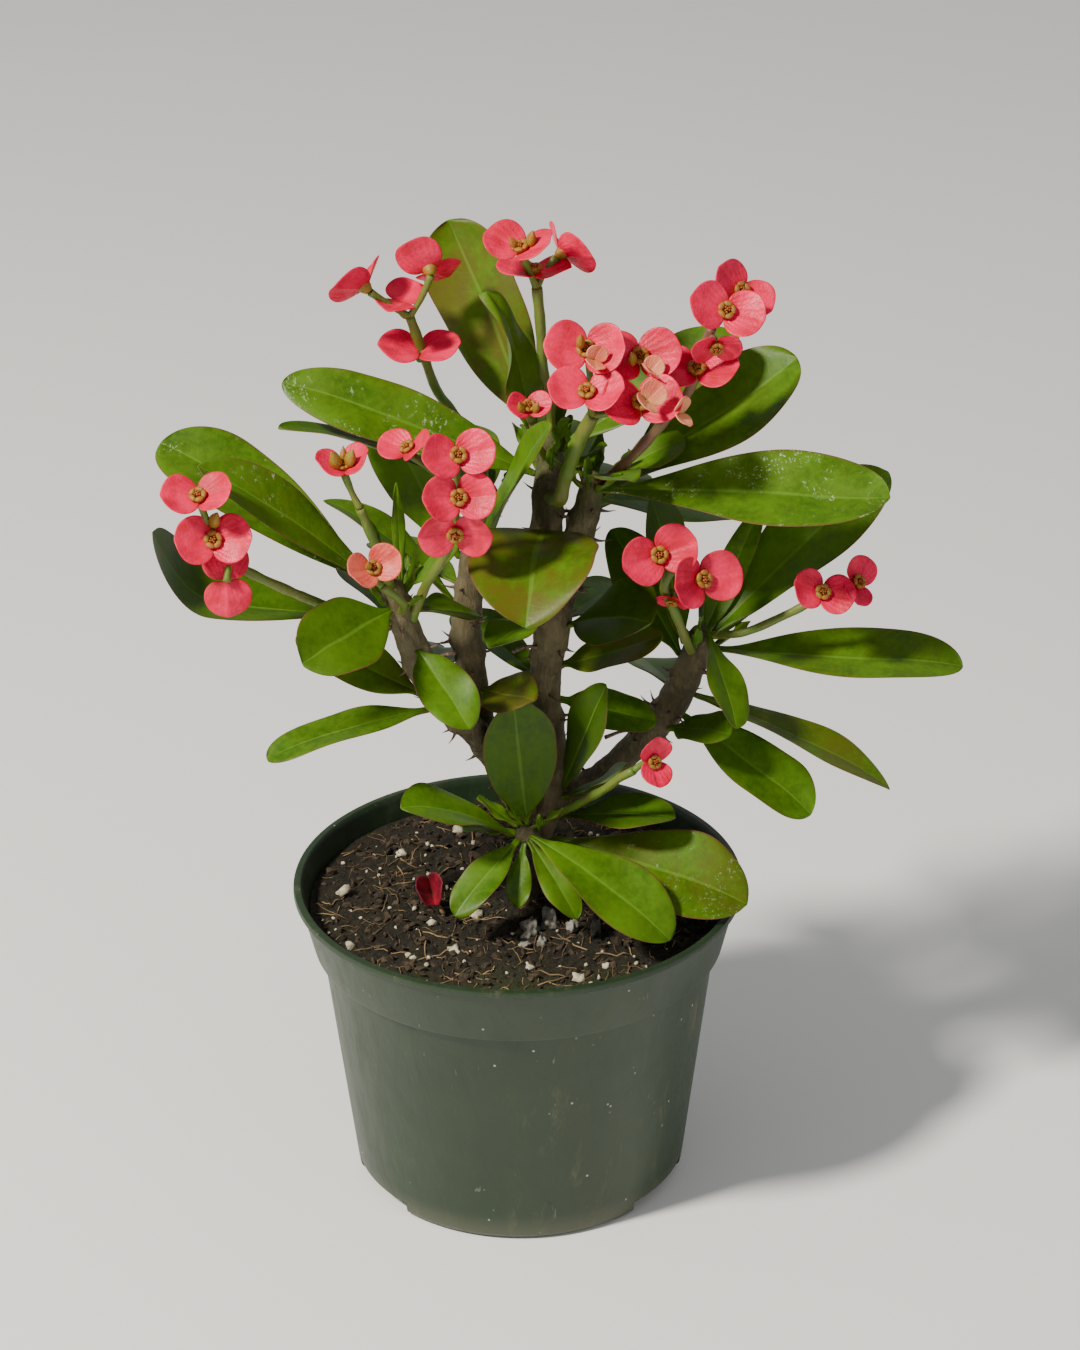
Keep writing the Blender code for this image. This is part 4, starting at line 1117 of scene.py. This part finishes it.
def add_bud(shape, uv, matrix, length):
    """A closed bud: a pointed egg with a seam between its two scales."""
    rings = []
    for along, radius in BUD_PROFILE:
        ring = []
        height = (along - 0.2) * length
        for side in range(BUD_SIDES):
            angle = math.tau * side / BUD_SIDES
            seam = 1 - 0.16 * math.exp(-((math.sin(angle) / 0.3) ** 2))
            reach = radius * seam * length
            spot = Vector((reach * math.cos(angle) * 0.85, reach * math.sin(angle), height))
            ring.append((shape.verts.new(matrix @ spot), (side / BUD_SIDES, 0.1 + 0.6 * along)))
        rings.append(ring)
    join_uv_rings(shape, uv, rings)
    shape.faces.new([spot for spot, _ in reversed(rings[0])])
    shape.faces.new([spot for spot, _ in rings[-1]])


def add_cluster(name, stalk, stalk_radius, heads, materials, replaced=None):
    """One flower cluster: its stalk with a branch to each head, its bracts and its cups."""
    bract, cup, stem = materials
    path = smooth_path([Vector((*point, stalk_radius)) for point in stalk], 0.0015)
    stems = bmesh.new()
    bracts = bmesh.new()
    cups = bmesh.new()
    bract_uv = bracts.loops.layers.uv.new("bract")
    cup_uv = cups.loops.layers.uv.new("cup")

    def knobbly(spot, outward, number):
        return spot.w * (1 + 0.12 * noise.noise(spot.xyz * 260) + 0.05 * math.sin(number * 0.9))

    sweep(stems, path, 12, knobbly)
    for number, (point, azimuth, elevation, spin, radius, opening) in enumerate(heads):
        frame_matrix = head_frame(point, azimuth, elevation, spin)
        seed = 1.7 * number + 0.9 * sum(map(ord, name)) % 17
        root = frame_matrix @ Vector((0, 0, -0.0022))
        fork = min(path, key=lambda spot: (spot.xyz - root).length)
        middle = (fork.xyz + root) / 2 - (frame_matrix.to_3x3() @ Z_AXIS) * 0.0012
        ends = [Vector((*fork.xyz, 0.0013)), Vector((*middle, 0.0011)), Vector((*root, 0.0014))]
        sweep(stems, smooth_path(ends, 0.0012), 10, knobbly)
        size = radius / USUAL_BRACT_RADIUS
        add_bract_pair(bracts, bract_uv, frame_matrix, radius, opening, seed)
        if (name, number) not in CUPLESS:
            add_cup(cups, cup_uv, frame_matrix @ Matrix.Translation((0, 0, 0.0006)), size**0.5, seed)
    for point, azimuth, elevation, length in BUDS.get(name, ()):
        add_bud(cups, cup_uv, head_frame(point, azimuth, elevation, 0), length)
    bmesh.ops.recalc_face_normals(cups, faces=cups.faces)
    if not cups.faces:
        cups.free()
    thicken(add_piece(f"{name}_bracts", bracts, bract, replaced))
    if cups.is_valid:
        add_piece(f"{name}_cups", cups, cup)
    add_piece(f"{name}_stalks", stems, stem)


def add_young_bracts(material):
    """The cream pairs that open in front of older bracts."""
    for name, heads in YOUNG_HEADS.items():
        shape = bmesh.new()
        uv = shape.loops.layers.uv.new("bract")
        for number, (point, azimuth, elevation, spin, radius, opening) in enumerate(heads):
            matrix = head_frame(point, azimuth, elevation, spin)
            add_bract_pair(shape, uv, matrix, radius, opening, number)
        thicken(add_piece(f"{name}_young_bracts", shape, material))


def add_flowers():
    pink, red, throat = (0.84, 0.010, 0.082), (0.54, 0.002, 0.032), (0.40, 0.003, 0.012)
    coral = bract_material("coral_bracts", pink, red, throat)
    faded = bract_material("faded_bracts", (0.74, 0.13, 0.09), (0.52, 0.035, 0.03), (0.42, 0.16, 0.03))
    dried = bract_material("dried_bracts", (0.30, 0.012, 0.03), (0.10, 0.008, 0.015), (0.12, 0.02, 0.01))
    cup = cup_material()
    olive = stalk_material("olive_stalk", (0.095, 0.175, 0.012), (0.135, 0.150, 0.018))
    reddish = stalk_material("reddish_stalk", (0.20, 0.12, 0.05), (0.16, 0.06, 0.04))
    for name, branch, along, stalk_radius, stalk, heads in FLOWERS:
        points = [plant_point(point) for point in stalk]
        centre, tangent, radius = place_on_branch(branch, along)
        toward = points[0] - centre
        outward = (toward - tangent * toward.dot(tangent)).normalized()
        start = centre + outward * radius * 0.6
        bract = faded if "faded" in name else coral
        stem = reddish if name == "upper_right_flowers" else olive
        add_cluster(name, [start, *points], stalk_radius, heads, (bract, cup, stem), name)
    cream = bract_material("cream_bracts", (0.80, 0.33, 0.17), (0.72, 0.14, 0.09), (0.36, 0.24, 0.02))
    add_young_bracts(cream)
    fallen = [plant_point(point) for point in FALLEN_STALK]
    looks = (dried, cup, reddish)
    name = "fallen_flower"
    add_cluster(name, fallen, FALLEN_STALK_RADIUS, [FALLEN_HEAD], looks, name)


# Stems


def add_stems():
    """The woody stems with swollen leaf scars, and the spines beside the scars."""
    chance = random.Random(SCATTER_SEED)
    bark = bmesh.new()
    spines = bmesh.new()
    for branch in BRANCHES:
        path = branch_path(branch)
        scars = []
        for number in range(4, len(path) - 3, 5):
            spot = path[number]
            direction = (path[number + 1] - path[number - 1]).xyz.normalized()
            angle = number * 0.48 + len(branch)
            side = direction.orthogonal().normalized()
            outward = Matrix.Rotation(angle, 3, direction) @ side
            scars.append((spot.xyz + outward * spot.w, outward, direction, spot.w))

        last = len(path) - 1

        def bark_radius(spot, outward, number):
            point = spot.xyz + outward * spot.w
            dome = min(1.0, (last - number + 0.2) * 0.0012 / spot.w)
            swell = sum(
                math.exp(-(((point - scar).length / 0.0026) ** 2)) for scar, *_ in scars
            )
            rough = noise.noise(point * 170) * 0.10 + noise.noise(point * 420) * 0.06
            return (spot.w * (0.97 + rough) + 0.0011 * swell) * math.sqrt(1 - (1 - dome) ** 2)

        sweep(bark, path, 28, bark_radius)
        for scar, outward, direction, radius in scars:
            for hand in (-1, 1):
                lean = Vector([chance.uniform(-0.3, 0.3) for _ in range(3)])
                across = outward.cross(direction) * hand
                aim = (outward + across * 0.5 + direction * 0.2 + lean).normalized()
                reach = chance.uniform(0.0030, 0.0078)
                start = scar + across * radius * 0.25 - outward * 0.0008
                tip = start + aim * reach
                middle = start.lerp(tip, 0.5) - direction * reach * 0.08
                thorn = [Vector((*start, 0.0009)), Vector((*middle, 0.0004)), Vector((*tip, 0.00006))]
                sweep(spines, smooth_path(thorn, 0.0012), 7)
    for branch, along, azimuth, rise, length in DRY_TWIGS:
        centre, _, radius = place_on_branch(branch, along)
        aim = direction_of(azimuth, rise)
        start = centre + aim * radius * 0.7
        bend = Vector((0, 0, 0.08 * length))
        points = [Vector((*start, 0.0009)), Vector((*(start + aim * length / 2 + bend), 0.0006))]
        points.append(Vector((*(start + aim * length), 0.0008)))
        sweep(spines, smooth_path(points, 0.0015), 8)
    add_piece("stems_bark", bark, bark_material(), "stems")
    add_piece("stem_spines", spines, spine_material())


# Pot


def foot_corner(radius, floor, steps=6):
    """The (radius, height) points of the rounded corner between the wall and the floor."""
    found = []
    for step in range(steps + 1):
        angle = math.radians(90 * step / steps)
        across, down = FOOT_CORNER * math.cos(angle), FOOT_CORNER * math.sin(angle)
        found.append((radius - FOOT_CORNER + across, floor + FOOT_CORNER - down))
    return found


def pot_profile():
    """The pot's outline from the inner floor over the rim to the underside, with softened edges."""
    top_in = RIM_RADIUS - LIP_WIDTH - WALL
    top_out = RIM_RADIUS - LIP_WIDTH
    band_foot = POT_HEIGHT - LIP_HEIGHT - BAND_HEIGHT
    soft = 0.0005
    inner = [
        (0.0, FLOOR),
        *reversed(foot_corner(FOOT_RADIUS - WALL, FLOOR)),
        (top_in - BAND_TAPER - BAND_STEP, band_foot + WALL),
        (top_in - BAND_TAPER, band_foot + WALL + BAND_STEP / 2),
        (top_in, POT_HEIGHT - LIP_HEIGHT),
        (top_in + soft, POT_HEIGHT - soft),
        (top_in + 2 * soft, POT_HEIGHT),
    ]
    lip = [
        (RIM_RADIUS - 2 * soft, POT_HEIGHT),
        (RIM_RADIUS - soft / 2, POT_HEIGHT - soft / 2),
        (RIM_RADIUS, POT_HEIGHT - 2 * soft),
        (RIM_RADIUS, POT_HEIGHT - LIP_HEIGHT + soft),
        (RIM_RADIUS - soft, POT_HEIGHT - LIP_HEIGHT),
        (top_out + soft / 2, POT_HEIGHT - LIP_HEIGHT - soft / 2),
        (top_out, POT_HEIGHT - LIP_HEIGHT - 2 * soft),
    ]
    band = [
        (top_out - BAND_TAPER, band_foot + 3 * soft),
        (top_out - BAND_TAPER - soft, band_foot + soft),
        (top_out - BAND_TAPER - 3 * soft, band_foot),
        (top_out - BAND_TAPER - BAND_STEP + soft, band_foot - soft / 2),
        (top_out - BAND_TAPER - BAND_STEP, band_foot - 3 * soft),
    ]
    return [*inner, *lip, *band, *foot_corner(FOOT_RADIUS, 0.0), (0.0, 0.0)]


DRAIN_COUNT = 3
DRAIN_FIRST_AZIMUTH = -30
DRAIN_SPAN = 34
DRAIN_DEPTH = 0.009
DRAIN_HEIGHT = 0.005
DRAIN_HOLE_RADIUS = 0.0022
DRAIN_STEPS = 16
CUT_MARGIN = 0.002


def sector(shape, inner, outer, bottom, top, azimuth, span):
    """Adds a closed piece of a flat ring, centred on this azimuth."""
    outline = ((inner, bottom), (outer, bottom), (outer, top), (inner, top))
    slices = []
    for step in range(DRAIN_STEPS + 1):
        angle = math.radians(azimuth + span * (step / DRAIN_STEPS - 0.5))
        slices.append(
            [shape.verts.new((r * math.cos(angle), r * math.sin(angle), z)) for r, z in outline]
        )
    join_rings(shape, slices)
    shape.faces.new(slices[0])
    shape.faces.new(reversed(slices[-1]))


def carve(piece, cutter_shape):
    """Cuts a closed shape out of a piece for good."""
    bmesh.ops.recalc_face_normals(cutter_shape, faces=cutter_shape.faces)
    cutter = new_object("cutter", mesh_of("cutter", cutter_shape))
    cut = piece.modifiers.new("cut", "BOOLEAN")
    cut.object = cutter
    cut.solver = "EXACT"
    bpy.context.view_layer.update()
    evaluated = piece.evaluated_get(bpy.context.evaluated_depsgraph_get())
    done = bpy.data.meshes.new_from_object(evaluated)
    piece.modifiers.clear()
    piece.data = done
    bpy.data.objects.remove(cutter)


def add_pot():
    plastic = pot_material()
    pot = add_piece("pot_shell", turned(pot_profile(), 180), plastic, "pot")
    recesses, pads, holes = bmesh.new(), bmesh.new(), bmesh.new()
    for number in range(DRAIN_COUNT):
        azimuth = DRAIN_FIRST_AZIMUTH + number * 360 / DRAIN_COUNT
        inner = FOOT_RADIUS - DRAIN_DEPTH
        sector(recesses, inner, FOOT_RADIUS + CUT_MARGIN, -CUT_MARGIN, DRAIN_HEIGHT, azimuth, DRAIN_SPAN)
        top = DRAIN_HEIGHT + FLOOR
        sector(pads, inner - WALL, FOOT_RADIUS - WALL, FLOOR / 2, top, azimuth, DRAIN_SPAN + 5)
        turn = Matrix.Rotation(math.radians(azimuth), 4, "Z")
        place = Matrix.Translation((FOOT_RADIUS - DRAIN_DEPTH / 2 - WALL, 0, DRAIN_HEIGHT))
        bmesh.ops.create_cone(
            holes,
            cap_ends=True,
            segments=24,
            radius1=DRAIN_HOLE_RADIUS,
            radius2=DRAIN_HOLE_RADIUS,
            depth=0.02,
            matrix=turn @ place,
        )
    bmesh.ops.recalc_face_normals(pads, faces=pads.faces)
    pad = add_piece("pot_drain_pads", pads, plastic, smooth=False)
    carve(pot, recesses.copy())
    carve(pad, recesses)
    carve(pad, holes)
    for piece in (pot, pad):
        piece.data.shade_smooth()
        piece.data.set_sharp_from_angle(angle=math.radians(35))


# Soil and what lies on it

SOIL_RADIUS = 0.0736
SOIL_RINGS = 140
SOIL_SIDES = 360
# Fibres end before the pot's wall
FIBRE_REACH = 0.0725
SOIL_SIDE = ((0.0730, SOIL_TOP - 0.004), (0.0655, 0.0860), (0.0570, 0.0200))


def soil_height(x, y):
    """Height of the soil's lumps over its mean surface."""
    spot = Vector((x, y, 0.0))
    lumps = 0.0016 * noise.noise(spot * 45) + 0.0012 * noise.noise(spot * 130)
    crumbs = 0.0014 * noise.noise(spot * 420) + 0.0008 * noise.noise(spot * 900)
    mound = 0.002 * math.exp(-((math.hypot(x - 0.002, y + 0.004) / 0.012) ** 2))
    rim = min(1.0, (SOIL_RADIUS - math.hypot(x, y)) / 0.006)
    return (lumps + crumbs + mound) * max(rim, 0.25)


def add_soil():
    shape = bmesh.new()
    rings = []
    for ring in range(1, SOIL_RINGS + 1):
        radius = SOIL_RADIUS * ring / SOIL_RINGS
        spots = []
        for side in range(SOIL_SIDES):
            angle = math.tau * side / SOIL_SIDES
            x, y = radius * math.cos(angle), radius * math.sin(angle)
            spots.append(shape.verts.new((x, y, SOIL_TOP + soil_height(x, y))))
        rings.append(spots)
    for radius, height in SOIL_SIDE:
        around = [math.tau * side / SOIL_SIDES for side in range(SOIL_SIDES)]
        spots = [(radius * math.cos(angle), radius * math.sin(angle), height) for angle in around]
        rings.append([shape.verts.new(spot) for spot in spots])
    middle = shape.verts.new((0, 0, SOIL_TOP + soil_height(0, 0)))
    for side in range(SOIL_SIDES):
        shape.faces.new((middle, rings[0][side], rings[0][(side + 1) % SOIL_SIDES]))
    for inner, outer in zip(rings, rings[1:]):
        for side in range(SOIL_SIDES):
            following = (side + 1) % SOIL_SIDES
            shape.faces.new((inner[side], outer[side], outer[following], inner[following]))
    shape.faces.new(list(reversed(rings[-1])))
    bmesh.ops.recalc_face_normals(shape, faces=shape.faces)
    add_piece("soil_body", shape, soil_material(), "soil")


def lump(shape, spot, size, chance, flat=1.0, subdivisions=2):
    """Adds one irregular crumb."""
    angle = chance.uniform(0, math.tau)
    turn = Matrix.Rotation(angle, 4, Vector([chance.uniform(-1, 1) for _ in range(3)]))
    width = size * chance.uniform(0.6, 0.95)
    scale = Matrix.Diagonal((size, width, size * flat * chance.uniform(0.6, 0.9), 1))
    made = bmesh.ops.create_icosphere(shape, subdivisions=subdivisions, radius=1.0)
    offset = Vector([chance.uniform(0, 90) for _ in range(3)])
    for vert in made["verts"]:
        vert.co *= 1 + 0.75 * noise.noise(vert.co * 1.9 + offset)
        vert.co = Matrix.Translation(spot) @ turn @ scale @ vert.co


def scatter_spots(chance, count, inner=0.010, outer=0.071):
    """Random places on the soil, clear of the trunk."""
    for _ in range(count):
        radius = math.sqrt(chance.uniform(inner**2, outer**2))
        angle = chance.uniform(0, math.tau)
        x, y = radius * math.cos(angle), radius * math.sin(angle)
        yield x, y


def on_soil(x, y, lift=0.0):
    return Vector((x, y, SOIL_TOP + soil_height(x, y) + lift))


# The larger grains: place (x, y) and size
PERLITE = (
    (-0.062, 0.004, 0.0030), (-0.015, -0.010, 0.0028), (-0.022, -0.036, 0.0026), (0.021, -0.054, 0.0026),
    (-0.058, -0.032, 0.0020), (-0.042, 0.032, 0.0020), (-0.030, -0.018, 0.0016), (0.030, -0.047, 0.0018),
    (0.004, -0.048, 0.0017), (-0.022, 0.050, 0.0022), (-0.036, -0.040, 0.0014), (0.033, -0.058, 0.0015),
)
GRAVEL = (
    (0.004, -0.024, 0.0040), (0.011, -0.019, 0.0048), (0.019, -0.021, 0.0038), (0.008, -0.031, 0.0026),
    (0.027, -0.024, 0.0032), (0.002, -0.033, 0.0022),
)


def add_soil_litter():
    """Perlite, gravel, bark crumbs and loose fibres on the soil."""
    chance = random.Random(SCATTER_SEED + 1)
    perlite = bmesh.new()
    for x, y, size in PERLITE:
        lump(perlite, on_soil(x, y, size * 0.3), size, chance)
    for x, y in scatter_spots(chance, 150):
        size = chance.uniform(0.0004, 0.0012)
        lump(perlite, on_soil(x, y, size * 0.3), size, chance, subdivisions=1)
    white = grain_material("perlite", (0.36, 0.31, 0.20), (0.72, 0.66, 0.50), 500)
    add_piece("soil_perlite", perlite, white)

    gravel = bmesh.new()
    for x, y, size in GRAVEL:
        lump(gravel, on_soil(x, y, size * 0.25), size, chance, flat=0.8, subdivisions=3)
    grey = grain_material("gravel", (0.10, 0.09, 0.07), (0.34, 0.32, 0.27), 260)
    add_piece("soil_gravel", gravel, grey)

    crumbs = bmesh.new()
    for x, y in scatter_spots(chance, 1100):
        size = 0.0006 + 0.0019 * chance.random() ** 2
        lump(crumbs, on_soil(x, y, size * 0.2), size, chance, flat=0.5, subdivisions=1)
    brown = grain_material("peat_crumbs", (0.008, 0.005, 0.003), (0.070, 0.045, 0.022), 240, 0.9)
    add_piece("soil_crumbs", crumbs, brown, smooth=False)

    fibres = bmesh.new()
    for x, y in scatter_spots(chance, 420):
        length = 0.003 + 0.016 * chance.random() ** 2
        angle = chance.uniform(0, math.tau)
        turn = chance.uniform(-0.9, 0.9)
        radius = 0.00009 + 0.00022 * chance.random() ** 2
        points = []
        for step in range(6):
            points.append(Vector((*on_soil(x, y, radius + 0.0004 * chance.random()), radius)))
            x += math.cos(angle) * length / 5
            y += math.sin(angle) * length / 5
            angle += turn / 5
            if math.hypot(x, y) > FIBRE_REACH:
                break
        if len(points) > 2:
            sweep(fibres, smooth_path(points, 0.002), 5)
    tan = grain_material("dry_fibres", (0.045, 0.028, 0.012), (0.30, 0.20, 0.09), 90)
    add_piece("soil_fibres", fibres, tan)


# Stage

CAMERA_TARGET = Vector((0.0082, 0.0, 0.1922))
CAMERA_DISTANCE = 1.3
CAMERA_ELEVATION = 26.37
CAMERA_ROLL = -0.37
CAMERA_LENS = 101.2


# Keeps the floor's surface off the pot's underside
FLOOR_DROP = 0.0002
WORLD_STRENGTH = 0.36


def add_camera():
    camera = new_object("camera", bpy.data.cameras.new("camera"))
    rise = math.radians(CAMERA_ELEVATION)
    back = Vector((0, -math.cos(rise), math.sin(rise)))
    turn = (-back).to_track_quat("-Z", "Y").to_matrix().to_4x4()
    roll = Matrix.Rotation(math.radians(CAMERA_ROLL), 4, "Z")
    camera.matrix_world = Matrix.Translation(CAMERA_TARGET + back * CAMERA_DISTANCE) @ turn @ roll
    camera.data.lens = CAMERA_LENS
    camera.data.sensor_width = 36
    bpy.context.scene.camera = camera


def add_light(name, place, size, power, color=(1, 1, 1)):
    light = bpy.data.lights.new(name, "AREA")
    light.shape = "DISK"
    light.size = size
    light.energy = power
    light.color = color
    lamp = new_object(name, light)
    lamp.location = place
    aim = CAMERA_TARGET - Vector(place)
    lamp.rotation_euler = aim.to_track_quat("-Z", "Y").to_euler()


def add_stage():
    """A plain pale floor under soft studio light."""
    shape = bmesh.new()
    bmesh.ops.create_grid(shape, x_segments=1, y_segments=1, size=12)
    mesh = mesh_of("floor", shape)
    material, tree = new_material("pale_floor")
    cloud = noise_of(coordinates(tree), 3)
    color = blend_colors(cloud, (0.86, 0.86, 0.85), (0.89, 0.89, 0.88))
    finish_material(color, 0.8)
    mesh.materials.append(material)
    floor = new_object("floor", mesh)
    floor.location = (0, 0, -FLOOR_DROP)
    floor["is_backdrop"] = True
    world = bpy.data.worlds.new("studio")
    bpy.context.scene.world = world
    world.use_nodes = True
    background = world.node_tree.nodes["Background"]
    background.inputs["Color"].default_value = (1.0, 1.0, 1.0, 1.0)
    background.inputs["Strength"].default_value = WORLD_STRENGTH
    add_light("key", (-1.25, -0.85, 1.8), 0.30, 84, (1.0, 0.95, 0.86))
    add_light("fill", (1.6, -1.4, 1.0), 1.6, 6)


def write_size():
    """Builds a table of the CAD model's box and the visual model's box, and does not keep it."""
    boxes = {"cad": CAD_BOX, "visual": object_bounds()}
    {name: [list(corner) for corner in box] for name, box in boxes.items()}


def tip_leaf_rows():
    """Rows, as in LEAVES, of the small leaves round each growing tip, in a spiral."""
    for branch, count, longest in TIP_LEAVES:
        for number in range(count):
            length = longest * (1 - 0.55 * number / count)
            rise = 38 + 45 * number / count
            azimuth = (SPIRAL_TURN * number + 60 * len(branch)) % 360
            along = 0.93 + 0.06 * number / count
            name = f"{branch}_tip_{number}"
            yield (name, branch, along, azimuth, rise, length, 0.3 * length, 0, -15, 0.45)


def main():
    add_camera()
    add_stage()
    add_pot()
    add_soil()
    add_soil_litter()
    add_stems()
    leaf = leaf_material()
    for row in LEAVES:
        add_leaf(row, leaf, row[0])
    for row in (*SMALL_LEAVES, *BACK_LEAVES, *tip_leaf_rows()):
        add_leaf(row, leaf)
    add_flowers()
    write_size()


main()
